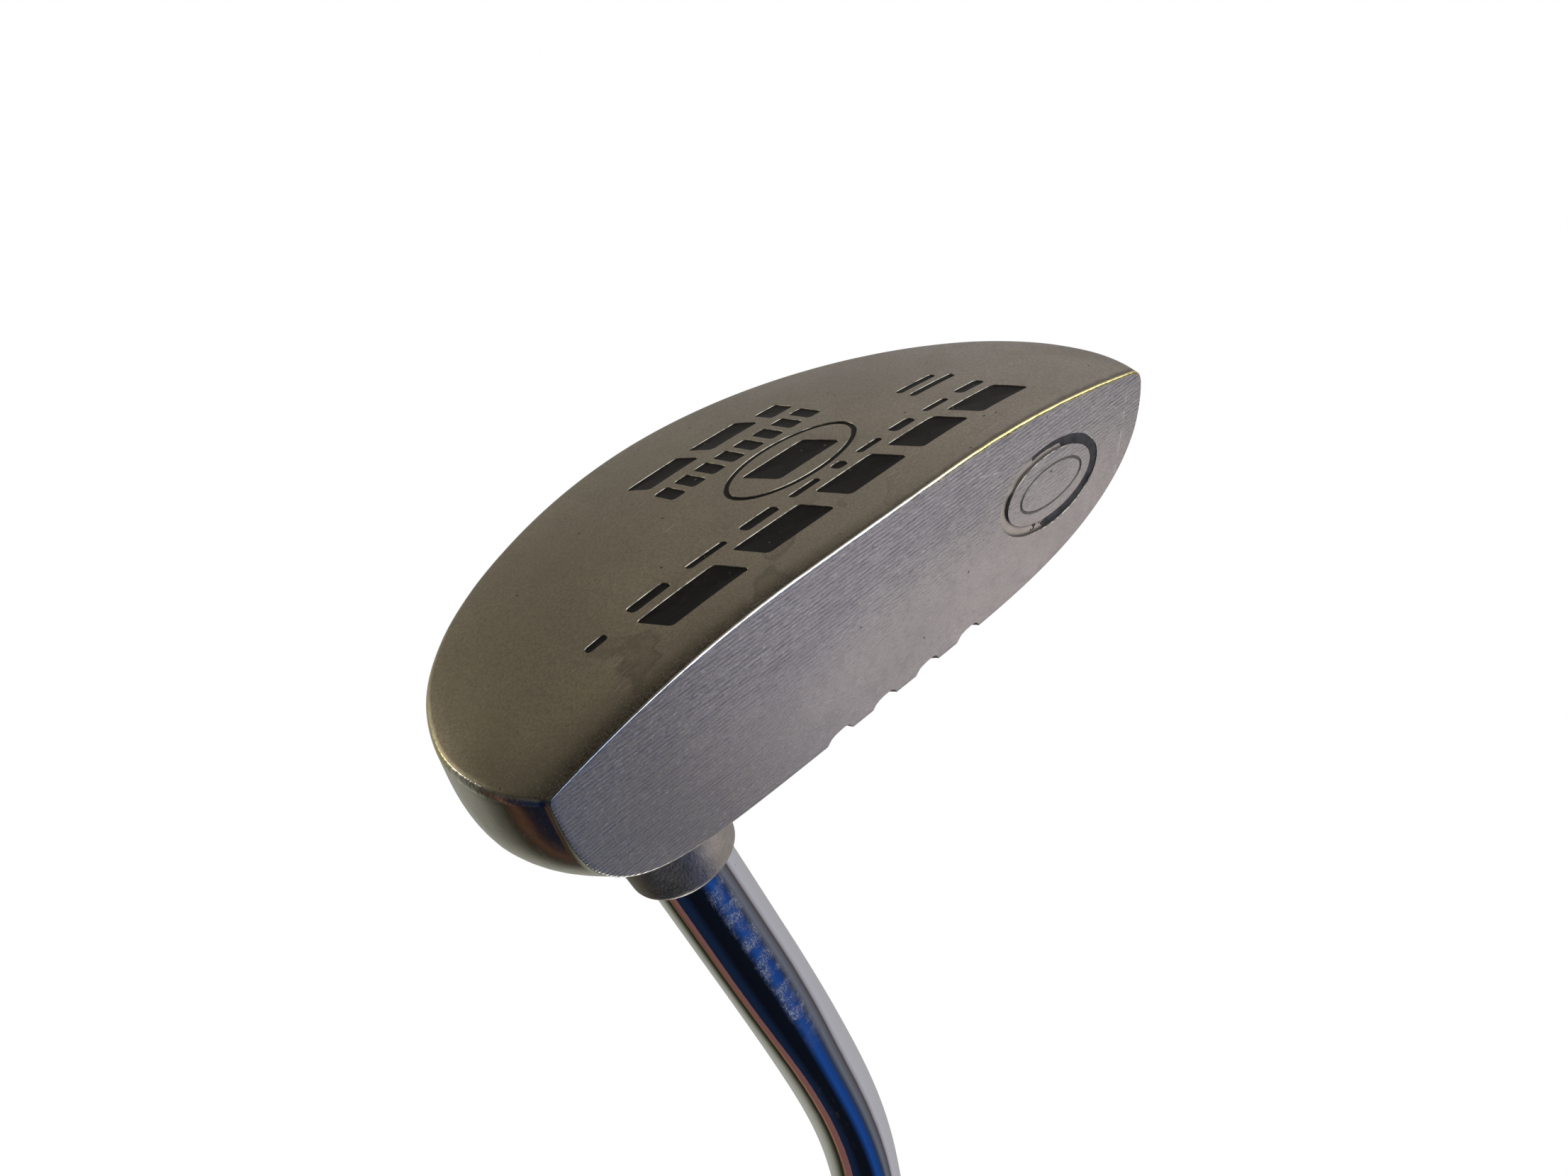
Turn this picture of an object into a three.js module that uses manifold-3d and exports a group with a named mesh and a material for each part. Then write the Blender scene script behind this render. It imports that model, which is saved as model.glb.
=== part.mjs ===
// Half-moon mallet putter: a solid stainless head with a short hosel boss, a bent chrome-plated
// steel shaft bonded into it, and a tapered rubber grip. Millimetres. +Z is up at address with the
// sole on the ground, the face looks along -Y, the heel (the golfer's side) is +X and the toe -X.
// The origin is on the sole, under the face centre.
import * as THREE from "three";
import Module from "manifold-3d";

const wasm = await Module();
wasm.setup();

const RAD = Math.PI / 180;
const { lerp } = THREE.MathUtils;

// ---------------------------------------------------------------- head dimensions
const EDGE_Z = 3.9; // height of the sharp edge round the sole
const CROWN_Z = 20.15; // height of the crown at the face
const SOLE_FLAT = 0.25; // share of the sole's radius that is flat and touches the ground
// Sole edge seen from above: [degrees from the heel end of the face, distance from the origin]
const SOLE_EDGE = [
  [0, 39.6], [3, 41.0], [6, 42.2], [10, 43.45], [15, 44.6], [20, 45.25], [30, 45.7],
  [40, 45.3], [50, 44.5], [60, 43.75], [70, 43.35], [80, 43.2], [90, 43.15], [100, 43.05],
  [110, 42.98], [120, 42.98], [130, 43.1], [140, 43.25], [150, 43.3], [160, 42.9],
  [165, 42.45], [170, 41.85], [174, 41.15], [177, 40.5], [180, 39.7],
];
// Crown section: (radius share)^radial + (height share)^vertical = 1
const HEEL_SECTION = { radial: 6.5, vertical: 3.3 };
const BACK_SECTION = { radial: 2.7, vertical: 1.75 };
const TOE_SECTION = { radial: 3.38, vertical: 2.07 };
// The heel wall swells outside the sole edge: it grows up to one angle and fades after another
const HEEL_BULGE = { share: 0.022, growDeg: 12, fadeFromDeg: 35, fadeDeg: 40 };
// The crown climbs to a crest behind the face and falls to the back
const DOME = { rise: 2.4, crestY: 8, backY: 36, halfWidth: 30 };
const FACE = { rollRadius: 180, midZ: 10.4 }; // rolled from sole to crown
// Block behind the face that trims the blank
const FACE_BLOCK = { halfWidth: 60, backY: 70, bottomZ: -3, topZ: 28, steps: 20 };
// Rings of the blank: radius shares on the sole, steps up the wall, and shares of the last wall
// ring's radius across the middle of the crown. In front of the face it ends in a half ellipse.
const BLANK = {
  soleShares: [SOLE_FLAT, 0.33, 0.41, 0.49, 0.57, 0.65, 0.73, 0.8, 0.87, 0.93, 0.97, 1],
  wallSteps: 18,
  middleShares: [0.8, 0.62, 0.46, 0.32, 0.2, 0.1],
  frontDepth: 6,
};
// Alignment grooves in the crown: a steep wall on the toe side, a slow rise on the heel side
const GROOVES = {
  count: 4, firstX: -8.9, pitch: 6.3,
  runOut: { length: 6, rise: 1.2075 }, // the floor climbs out of the crown at the back end
  stationsY: [-2, -0.01, 0.7, 1.5, 2.5, 3.5, 5, 6.5, 8, 10, 13, 16, 19, 22, 25, 28, 31],
  // [offset along x, height above the crown]
  profile: [
    [-2.2, 1.2], [-2.1, 0.06], [-1.8, -0.05], [-1.5, -0.27], [-1.3, -0.6], [-1.1, -0.92],
    [-0.7, -1.12], [0.1, -1.12], [0.9, -1.02], [1.4, -0.86], [1.75, -0.62], [2.1, -0.32],
    [2.45, -0.08], [2.75, 0.04], [3.0, 1.2],
  ],
};

// ---------------------------------------------------------------- shaft and grip dimensions
const TIP_R = 4.7; // outside radius at the tip: the standard 0.370 inch tip
const BUTT_R = 7.35; // outside radius under the grip: the standard 0.580 inch butt
const WALL = 0.6;
const RIM = new THREE.Vector3(27.05, 8.48, 28.0); // centre of the boss's rim
const TIP_DIR = new THREE.Vector3(-0.124, -0.136, 0.983).normalize();
const INSERT = 20.9; // how far the shaft goes down the bore, below the rim
const STRAIGHT_TIP = 16; // straight run above the rim
const LIE_SLOPE = 0.325; // dx/dz of the straight shaft: a lie angle of 72 degrees
const LENGTH = 889; // 35 inches along the shaft, from the ground to the end of the cap
// The foot rows are [radius beyond the boss's own, distance above the rim]
const BOSS = {
  radius: 5.95, lipRadius: 5.4, roundHeight: 0.7, roundSteps: 5, bottomZ: 8, segments: 48,
  foot: [[1.0, -22], [0.85, -8.6], [0.45, -7.2], [0.25, -5.4], [0.1, -3]],
};
const BORE = { radius: 4.96, depth: 21.5, overshoot: 6, segments: 40 };
const BOND = { gap: 0.06, tipGap: 0.04, belowRim: 0.6, overshoot: 2 };
const PLUG = { gap: 0.12, recess: 0.5, length: 6 };
const TUBE_SEGMENTS = 28;
const CHAMFER = { depth: 0.3, length: 0.8 }; // at the shaft's tip
const BEND_RINGS = { start: INSERT + STRAIGHT_TIP + 4, end: 150, pitch: 4.6, last: 152 };
const SHAFT_STEPS = { count: 11, from: 250, to: 600, length: 1.5 };
const TAPE = { thick: 0.3, gap: 0.03, fromMouth: 6, fromButt: 1 };
const GRIP = {
  length: 266, lowR: 9.6, topHalfX: 14.2, topHalfY: 12.9, growth: 0.85, segments: 40, steps: 12,
  mouth: { scale: 0.93, length: 1.2 },
  bore: { gap: 0.05, stepStart: 4.4, stepEnd: 5 },
  // depth share cut off, mouth-to-full rate, bow left in the flat, widening beside it
  flat: { share: 0.2, rate: 4, bow: 0.08, widen: 0.12 },
};
const CAP = {
  thick: 3.2, ventRadius: 1.1, seatGap: 0.03,
  spigot: { length: 7, gap: 0.15 },
  // [height above the butt, scale of the grip's top section]
  rim: [[0.03, 0.995], [1.6, 1.0], [2.7, 0.95], [3.2, 0.86]],
};

// ---------------------------------------------------------------- solids from points
// Catmull-Rom through rows of [key, value], held constant past both ends
function interpolate(rows, key) {
  const last = rows.length - 1;
  if (key <= rows[0][0]) return rows[0][1];
  if (key >= rows[last][0]) return rows[last][1];
  let i = 0;
  while (rows[i + 1][0] < key) i++;
  const [x0, y0] = rows[Math.max(i - 1, 0)];
  const [x1, y1] = rows[i];
  const [x2, y2] = rows[i + 1];
  const [x3, y3] = rows[Math.min(i + 2, last)];
  const span = x2 - x1;
  const startRise = (span * (y2 - y0)) / (x2 - x0);
  const endRise = (span * (y3 - y1)) / (x3 - x1);
  const t = (key - x1) / span;
  const t2 = t * t;
  const t3 = t2 * t;
  return (2 * t3 - 3 * t2 + 1) * y1 + (t3 - 2 * t2 + t) * startRise
    + (-2 * t3 + 3 * t2) * y2 + (t3 - t2) * endRise;
}

function solidFrom(points, triangles) {
  return new wasm.Manifold(new wasm.Mesh({
    numProp: 3,
    vertProperties: new Float32Array(points.flatMap((point) => point.toArray())),
    triVerts: new Uint32Array(triangles.flat()),
  }));
}

// Skin over rings of equal length. With two apex points the ends are closed by fans;
// without them the last ring joins the first.
function skin(rings, apexes) {
  const count = rings[0].length;
  const points = rings.flat();
  const triangles = [];
  const bands = apexes ? rings.length - 1 : rings.length;
  for (let i = 0; i < bands; i++) {
    const low = i * count;
    const high = ((i + 1) % rings.length) * count;
    for (let j = 0; j < count; j++) {
      const k = (j + 1) % count;
      triangles.push([low + j, low + k, high + k], [low + j, high + k, high + j]);
    }
  }
  if (apexes) {
    const first = points.length;
    const lastRing = first - count;
    points.push(...apexes);
    for (let j = 0; j < count; j++) {
      const k = (j + 1) % count;
      triangles.push([first, k, j], [first + 1, lastRing + j, lastRing + k]);
    }
  }
  return solidFrom(points, triangles);
}

// The same, with the rings turned round if the solid comes out inside out
function loft(rings, apexes) {
  const solid = skin(rings, apexes);
  return solid.volume() < 0 ? skin(rings.map((ring) => ring.toReversed()), apexes) : solid;
}

function centroid(ring) {
  const sum = new THREE.Vector3();
  for (const point of ring) sum.add(point);
  return sum.divideScalar(ring.length);
}

const cappedLoft = (rings) => loft(rings, [centroid(rings[0]), centroid(rings.at(-1))]);

// Solid of revolution about the tip axis: rows of [radius, distance above the rim]
function turned(profile, segments) {
  const across = new THREE.Vector3(0, 1, 0).cross(TIP_DIR).normalize();
  const back = TIP_DIR.clone().cross(across);
  return cappedLoft(profile.map(([radius, height]) =>
    Array.from({ length: segments }, (_, j) => {
      const angle = (2 * Math.PI * j) / segments;
      return RIM.clone()
        .addScaledVector(TIP_DIR, height)
        .addScaledVector(across, radius * Math.cos(angle))
        .addScaledVector(back, radius * Math.sin(angle));
    })));
}

// Prism between two rings that share one flat triangulation; loops are the outline, then holes
function prism(low, high, loops) {
  const count = low.length;
  const [outline, ...holes] = loops.map((loop) => loop.map(([u, v]) => new THREE.Vector2(u, v)));
  const triangles = [];
  const edges = new Set();
  for (const [a, b, c] of THREE.ShapeUtils.triangulateShape(outline, holes)) {
    triangles.push([a, c, b], [count + a, count + b, count + c]);
    for (const [from, to] of [[a, b], [b, c], [c, a]]) edges.add(from + "_" + to);
  }
  let base = 0;
  for (const loop of loops) {
    for (let j = 0; j < loop.length; j++) {
      let from = base + j;
      let to = base + ((j + 1) % loop.length);
      // the walls run the same way round as the triangulation
      if (!edges.has(from + "_" + to)) [from, to] = [to, from];
      triangles.push([from, to, count + to], [from, count + to, count + from]);
    }
    base += loop.length;
  }
  const points = [...low, ...high];
  const solid = solidFrom(points, triangles);
  if (solid.volume() >= 0) return solid;
  return solidFrom(points, triangles.map(([a, b, c]) => [a, c, b]));
}

// ---------------------------------------------------------------- head surfaces
const soleRadius = (deg) => interpolate(SOLE_EDGE, deg);

// Angle, and distance as a share of the sole edge's; points in front of the face count as on it
function polar(x, y) {
  const behind = Math.max(y, 0);
  const deg = Math.atan2(behind, x) / RAD;
  return { deg, share: Math.hypot(x, behind) / soleRadius(deg) };
}

const soleHeight = (share) => EDGE_Z * (Math.max(share - SOLE_FLAT, 0) / (1 - SOLE_FLAT)) ** 2;

const faceY = (z) => (z - FACE.midZ) ** 2 / (2 * FACE.rollRadius);

// Section exponents: the heel's or the toe's at the ends and in front, blending to the back's
function section(deg) {
  const sine = Math.max(Math.sin(deg * RAD), 0);
  const blend = sine ** 4 * 0.35 + sine ** 2 * 0.65;
  const end = Math.cos(deg * RAD) > 0 ? HEEL_SECTION : TOE_SECTION;
  return {
    radial: lerp(end.radial, BACK_SECTION.radial, blend),
    vertical: lerp(end.vertical, BACK_SECTION.vertical, blend),
  };
}

function bulge(deg) {
  const { share, growDeg, fadeFromDeg, fadeDeg } = HEEL_BULGE;
  const fade = Math.max(0, 1 - Math.max(deg - fadeFromDeg, 0) / fadeDeg);
  return share * Math.min(deg / growDeg, 1) * fade;
}

// How far the crown stands above its polar section
function dome(x, y) {
  const { rise, crestY, backY, halfWidth } = DOME;
  if (Math.abs(x) >= halfWidth || y <= 0 || y >= backY) return 0;
  const across = Math.cos((Math.PI * x) / (2 * halfWidth)) ** 2;
  const along = y < crestY
    ? 1 - (1 - y / crestY) ** 2
    : 0.5 + 0.5 * Math.cos((Math.PI * (y - crestY)) / (backY - crestY));
  return rise * across * along;
}

const crownPoint = (x, y, heightShare) =>
  new THREE.Vector3(x, y, EDGE_Z + (CROWN_Z - EDGE_Z) * heightShare + dome(x, y));

const crownShare = (share, { radial, vertical }) => (1 - share ** radial) ** (1 / vertical);

// ---------------------------------------------------------------- head
// Position on the blank's plan at an angle and a share of the edge's distance
function planPoint(deg, share) {
  const cosine = Math.cos(deg * RAD);
  const sine = Math.sin(deg * RAD);
  if (deg <= 180) {
    const radius = soleRadius(deg) * share;
    return [radius * cosine, radius * sine];
  }
  return [share * cosine * soleRadius(cosine > 0 ? 0 : 180), share * BLANK.frontDepth * sine];
}

// The head before the face is cut: sole and crown skins that meet on the edge ring
function headBlank() {
  const degs = [];
  for (let deg = 0; deg < 180; deg += deg < 21 || deg >= 159 ? 3 : 4.6) degs.push(deg);
  for (let deg = 180; deg < 360; deg += 15) degs.push(deg);

  const rings = BLANK.soleShares.map((share) =>
    degs.map((deg) => new THREE.Vector3(...planPoint(deg, share), soleHeight(share))));
  for (let i = 1; i < BLANK.wallSteps; i++) {
    const angle = (Math.PI / 2) * (i / BLANK.wallSteps);
    rings.push(degs.map((deg) => {
      const { radial, vertical } = section(deg);
      const swell = 1 + bulge(deg) * Math.sin(2 * angle);
      const [x, y] = planPoint(deg, Math.cos(angle) ** (2 / radial) * swell);
      return crownPoint(x, y, Math.sin(angle) ** (2 / vertical));
    }));
  }
  // more rings in the middle, where the crown climbs behind the face
  const lastAngle = (Math.PI / 2) * ((BLANK.wallSteps - 1) / BLANK.wallSteps);
  for (const middleShare of BLANK.middleShares) {
    rings.push(degs.map((deg) => {
      const exponents = section(deg);
      const share = Math.cos(lastAngle) ** (2 / exponents.radial) * middleShare;
      return crownPoint(...planPoint(deg, share), crownShare(share, exponents));
    }));
  }
  return loft(rings, [new THREE.Vector3(0, 0, 0), new THREE.Vector3(0, 0, CROWN_Z)]);
}

// Everything behind the rolled face
function faceBlock() {
  const { halfWidth, backY, bottomZ, topZ, steps } = FACE_BLOCK;
  const outline = [];
  for (let i = 0; i <= steps; i++) {
    const z = bottomZ + ((topZ - bottomZ) * i) / steps;
    outline.push([faceY(z), z]);
  }
  outline.push([backY, topZ], [backY, bottomZ]);
  const ring = (x) => outline.map(([y, z]) => new THREE.Vector3(x, y, z));
  return prism(ring(-halfWidth), ring(halfWidth), [outline]);
}

// Hosel boss with a rounded top edge, cut off inside the casting above the sole
function hoselBoss() {
  const { radius, lipRadius, roundHeight, roundSteps, bottomZ, segments } = BOSS;
  const profile = BOSS.foot.map(([extra, height]) => [radius + extra, height]);
  for (let i = 0; i <= roundSteps; i++) {
    const angle = (i / roundSteps) * 90 * RAD;
    profile.push([
      lipRadius + (radius - lipRadius) * Math.cos(angle),
      -roundHeight + roundHeight * Math.sin(angle),
    ]);
  }
  return turned(profile, segments).trimByPlane([0, 0, 1], bottomZ);
}

const hoselBore = () =>
  turned([[BORE.radius, -BORE.depth], [BORE.radius, BORE.overshoot]], BORE.segments);

// Cutter for one groove, following the crown along its middle line
function grooveCutter(x) {
  const { stationsY, profile, runOut } = GROOVES;
  const runStart = stationsY.at(-1) - runOut.length;
  return cappedLoft(stationsY.map((y) => {
    const { deg, share } = polar(x, y);
    const crown = crownPoint(x, y, crownShare(share, section(deg)));
    const run = Math.max(0, (y - runStart) / runOut.length);
    const floorZ = crown.z + runOut.rise * run * run;
    return profile.map(([offset, height]) => new THREE.Vector3(x + offset, y, floorZ + height));
  }));
}

function buildHead() {
  let head = headBlank().intersect(faceBlock()).add(hoselBoss()).subtract(hoselBore());
  for (let i = 0; i < GROOVES.count; i++) {
    head = head.subtract(grooveCutter(GROOVES.firstX + i * GROOVES.pitch));
  }
  for (const mark of MARKS) head = head.subtract(inlay(mark, 0, -CUT.overshoot, CUT.depth));
  return head;
}

// ---------------------------------------------------------------- engraved marks and paint
const CUT = { depth: 0.45, overshoot: 1.5 };
const PAINT = { top: 0.12, sideGap: 0.06, under: 0.03 }; // gaps round the paint in its mark
const CORNER = { radius: 0.45, least: 0.1, halfShare: 0.9, steps: 3 };
const OVAL_SEGMENTS = 40;

// Places at a depth into the metal, on the sole from (x, y) and on the face from (x, z)
const onSole = (x, y, depth) => new THREE.Vector3(x, y, soleHeight(polar(x, y).share) + depth);
const onFace = (x, z, depth) => new THREE.Vector3(x, faceY(z) + depth, z);

// A bar on the sole with slanted ends and rounded corners; length along x, width along y.
// Marks give their loops for an inset all round.
function barMark(name, centreX, centreY, length, width, slant) {
  const outline = (inset) => {
    const halfX = length / 2 - inset;
    const halfY = width / 2 - inset;
    const limit = Math.min(CORNER.radius, halfX * CORNER.halfShare, halfY * CORNER.halfShare);
    const corner = Math.max(limit - inset * 0.5, CORNER.least);
    const points = [];
    for (const [sideX, sideY, startDeg] of [[1, 1, 0], [-1, 1, 90], [-1, -1, 180], [1, -1, 270]]) {
      for (let i = 0; i <= CORNER.steps; i++) {
        const angle = (startDeg + (90 / CORNER.steps) * i) * RAD;
        const x = sideX * (halfX - corner) + corner * Math.cos(angle);
        const y = sideY * (halfY - corner) + corner * Math.sin(angle);
        points.push([centreX + x + (y / width) * slant, centreY + y]);
      }
    }
    return points;
  };
  return { name, place: onSole, loops: (inset) => [outline(inset)] };
}

// An oval ring; centre and half sizes are to its outer edge, band is its width
function ringMark(name, place, { centre, half, band }) {
  const oval = (inset) =>
    Array.from({ length: OVAL_SEGMENTS }, (_, i) => {
      const angle = (2 * Math.PI * i) / OVAL_SEGMENTS;
      return [
        centre[0] + (half[0] - inset) * Math.cos(angle),
        centre[1] + (half[1] - inset) * Math.sin(angle),
      ];
    });
  return { name, place, loops: (inset) => [oval(inset), oval(band - inset)] };
}

// Rows of [centre x, length]
const BOLD_BARS = [[-23.2, 7.2], [-14.4, 6.8], [-5.0, 7.9], [5.7, 8.7], [17.3, 9.4]];
const THIN_DASHES = [
  [-24.4, 3.6], [-19.2, 3.4], [-14.1, 3.0], [-9.3, 3.2], [-5.0, 1.5],
  [-0.2, 3.8], [5.9, 4.4], [12.7, 4.8], [19.9, 4.6],
];
const SHORT_BARS = { count: 8, x: -11.6, pitch: 2.7, y: 24.1, climb: 0.08 };
const SOLE_RING = { centre: [-3.4, 16.95], half: [8.5, 4.65], band: 0.55 };
const FACE_RING = { centre: [-23.2, 9.4], half: [7.9, 4.7], band: 1.15 };

// barMark takes name, centre x, centre y, length, width, slant
const MARKS = [
  ...BOLD_BARS.map(([x, length], i) =>
    barMark(`bold_bar_${i + 1}`, x, 7.9 - 0.25 * Math.abs(i - 2), length, 3.7, 1.6)),
  ...THIN_DASHES.map(([x, length], i) =>
    barMark(`thin_dash_${i + 1}`, x, 11.15, length, i % 2 ? 0.8 : 1.25, 0.3)),
  ...Array.from({ length: SHORT_BARS.count }, (_, i) => {
    const x = SHORT_BARS.x + i * SHORT_BARS.pitch;
    return barMark(`short_bar_${i + 1}`, x, SHORT_BARS.y + i * SHORT_BARS.climb, 1.85, 3.3, 0.4);
  }),
  barMark("square_tab", -10.6, 28.6, 3.2, 2.9, 0.4),
  barMark("back_bar_1", -3.9, 29.6, 6.8, 3.1, 1.2),
  barMark("back_bar_2", 4.8, 29.6, 7.0, 3.1, 1.2),
  barMark("toe_dash_1", -23.0, 15.3, 6.6, 0.95, 0),
  barMark("toe_dash_2", -22.4, 17.3, 5.6, 0.95, 0),
  barMark("heel_dash", 26.6, 10.5, 2.4, 0.95, 0),
  ringMark("sole_ring", onSole, SOLE_RING),
  barMark("sole_block", ...SOLE_RING.centre, 8.6, 4.2, 1.8),
  ringMark("face_ring", onFace, FACE_RING),
];

// Solid under a mark's outline, between two depths measured into the metal
function inlay(mark, inset, from, to) {
  const loops = mark.loops(inset);
  const ring = (depth) => loops.flat().map(([u, v]) => mark.place(u, v, depth));
  return prism(ring(from), ring(to), loops);
}

// ---------------------------------------------------------------- shaft centre line
// [height, slope]: straight out of the hosel, a first bend back, then a second to the lie
const SLOPE_X = [
  [0, -0.126], [48, -0.13], [56, -0.142], [66, -0.14], [76, -0.115], [86, -0.062],
  [97, 0.012], [108, 0.075], [120, 0.175], [132, 0.265], [142, 0.312],
  [150, LIE_SLOPE], [900, LIE_SLOPE],
];
const SLOPE_Y = [
  [0, -0.138], [44, -0.138], [50, -0.075], [56, 0.0], [62, 0.048], [70, 0.066],
  [84, 0.071], [100, 0.062], [116, 0.035], [130, 0.012], [142, 0], [900, 0],
];
const LINE_STEP = 0.5; // height between stations on the line

// Stations from the shaft's tip: point, direction and distance along the line
function centreLine() {
  const stations = [-INSERT, STRAIGHT_TIP].map((height) => ({
    point: RIM.clone().addScaledVector(TIP_DIR, height),
    direction: TIP_DIR,
    distance: INSERT + height,
  }));
  let { point, distance } = stations[1];
  while (distance < LENGTH) {
    const middleZ = point.z + LINE_STEP / 2;
    const slope = new THREE.Vector3(
      interpolate(SLOPE_X, middleZ), interpolate(SLOPE_Y, middleZ), 1);
    point = point.clone().addScaledVector(slope, LINE_STEP);
    distance += LINE_STEP * slope.length();
    stations.push({ point, direction: slope.normalize(), distance });
  }
  return stations;
}
const LINE = centreLine();

// From the ground to the shaft's tip, along the tip direction
const TIP_ABOVE_GROUND = RIM.z / TIP_DIR.z - INSERT;
const BUTT = LENGTH - TIP_ABOVE_GROUND - CAP.thick; // distances along the line
const MOUTH = BUTT - GRIP.length;

// Section across the line; its first axis stays near +X and its second near +Y
function ringAt(distance, shape, segments) {
  let i = 0;
  while (LINE[i + 1].distance < distance) i++;
  const before = LINE[i];
  const after = LINE[i + 1];
  const t = (distance - before.distance) / (after.distance - before.distance);
  const centre = before.point.clone().lerp(after.point, t);
  const direction = before.direction.clone().lerp(after.direction, t).normalize();
  const back = direction.clone().cross(new THREE.Vector3(1, 0, 0)).normalize();
  const heelward = back.clone().cross(direction).normalize();
  return Array.from({ length: segments }, (_, j) => {
    const [u, v] = shape((2 * Math.PI * j) / segments);
    return centre.clone().addScaledVector(heelward, u).addScaledVector(back, v);
  });
}

const disc = (radius) => (angle) => [radius * Math.cos(angle), radius * Math.sin(angle)];

// Tube on the line: rows of [distance, radius] for its outside and its inside, both tip to butt
function tube(outside, inside) {
  return loft([...outside, ...inside.toReversed()].map(([distance, radius]) =>
    ringAt(distance, disc(radius), TUBE_SEGMENTS)));
}

// ---------------------------------------------------------------- shaft pieces
// Epoxy sleeve between shaft and bore, closed under the tip
function buildBondSleeve() {
  const outer = BORE.radius - BOND.gap;
  const inner = TIP_R + BOND.gap;
  const sleeve = [[outer, -BORE.depth + BOND.gap], [outer, -BOND.belowRim]];
  const hollow = [[inner, -INSERT - BOND.tipGap], [inner, BOND.overshoot]];
  return turned(sleeve, BORE.segments).subtract(turned(hollow, BORE.segments));
}

// Parallel tip through both bends, then stepped up to the butt
function buildShaft() {
  const { count, from, to, length } = SHAFT_STEPS;
  const tipStations = [CHAMFER.length, INSERT, INSERT + STRAIGHT_TIP];
  for (let at = BEND_RINGS.start; at < BEND_RINGS.end; at += BEND_RINGS.pitch) {
    tipStations.push(at);
  }
  tipStations.push(BEND_RINGS.last, from);

  const outside = [[0, TIP_R - CHAMFER.depth], ...tipStations.map((at) => [at, TIP_R])];
  for (let i = 1; i <= count; i++) {
    const at = lerp(from, to, i / count);
    outside.push([at - length, lerp(TIP_R, BUTT_R, (i - 1) / count)]);
    outside.push([at, lerp(TIP_R, BUTT_R, i / count)]);
  }
  outside.push([BUTT, BUTT_R]);

  const inside = [0, ...tipStations].map((at) => [at, TIP_R - WALL]);
  inside.push([to, BUTT_R - WALL], [BUTT, BUTT_R - WALL]);
  return tube(outside, inside);
}

// Keeps the bonding out of the tube
function buildTipPlug() {
  const radius = TIP_R - WALL - PLUG.gap;
  const bottom = -INSERT + PLUG.recess;
  return turned([[radius, bottom], [radius, bottom + PLUG.length]], TUBE_SEGMENTS);
}

function buildGripTape() {
  const ends = [MOUTH + TAPE.fromMouth, BUTT - TAPE.fromButt];
  return tube(
    ends.map((at) => [at, BUTT_R + TAPE.thick]),
    ends.map((at) => [at, BUTT_R + TAPE.gap]),
  );
}

// ---------------------------------------------------------------- grip and cap
// Round at the mouth, growing to a paddle section with one flat side, facing the toe
function gripShape(distance, scale = 1) {
  const t = (distance - MOUTH) / GRIP.length;
  const growth = t ** GRIP.growth;
  const halfX = lerp(GRIP.lowR, GRIP.topHalfX, growth);
  const halfY = lerp(GRIP.lowR, GRIP.topHalfY, growth);
  const flat = GRIP.flat.share * Math.min(t * GRIP.flat.rate, 1);
  const flatX = -halfX * (1 - flat);
  return (angle) => {
    let u = halfX * Math.cos(angle);
    let v = halfY * Math.sin(angle);
    if (u < flatX) {
      v *= 1 + GRIP.flat.widen * (1 - Math.abs(v) / halfY) * flat;
      u = flatX + (u - flatX) * GRIP.flat.bow;
    }
    return [u * scale, v * scale];
  };
}

const gripRing = (distance, shape) => ringAt(distance, shape, GRIP.segments);

function buildGrip() {
  const { mouth, bore, steps, length } = GRIP;
  const lipEnd = MOUTH + mouth.length;
  const rings = [
    gripRing(MOUTH, gripShape(MOUTH, mouth.scale)),
    gripRing(lipEnd, gripShape(lipEnd)),
  ];
  for (let i = 1; i <= steps; i++) {
    const at = MOUTH + (length * i) / steps;
    rings.push(gripRing(at, gripShape(at)));
  }
  // back down the inside: wide over the tape, close on the shaft at the mouth
  const overTape = disc(BUTT_R + TAPE.thick + bore.gap);
  const overShaft = disc(BUTT_R + bore.gap);
  rings.push(
    gripRing(BUTT, overTape),
    gripRing(MOUTH + bore.stepEnd, overTape),
    gripRing(MOUTH + bore.stepStart, overShaft),
    gripRing(MOUTH, overShaft),
  );
  return loft(rings);
}

// Cap on the butt, with a vent hole and a spigot inside the shaft
function buildGripCap() {
  const vent = disc(CAP.ventRadius);
  const spigot = disc(BUTT_R - WALL - CAP.spigot.gap);
  const spigotEnd = BUTT - CAP.spigot.length;
  return loft([
    gripRing(spigotEnd, vent),
    gripRing(spigotEnd, spigot),
    gripRing(BUTT + CAP.seatGap, spigot),
    ...CAP.rim.map(([height, scale]) => gripRing(BUTT + height, gripShape(BUTT, scale))),
    gripRing(BUTT + CAP.thick, vent),
  ]);
}

// ---------------------------------------------------------------- meshes
const FINISHES = {
  steel: { color: 0x8b8680, metalness: 0.95, roughness: 0.42 },
  chrome: { color: 0xc8ccd2, metalness: 1, roughness: 0.08 },
  rubber: { color: 0x1c1c1e, metalness: 0, roughness: 0.85 },
  paint: { color: 0x0b0b0c, metalness: 0, roughness: 0.6 },
  epoxy: { color: 0x8d7b4a, metalness: 0, roughness: 0.5 },
  cork: { color: 0x9b8f7a, metalness: 0, roughness: 0.8 },
  tape: { color: 0xc9bf9d, metalness: 0, roughness: 0.9 },
  plastic: { color: 0x2a2a2c, metalness: 0, roughness: 0.5 },
};

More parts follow.
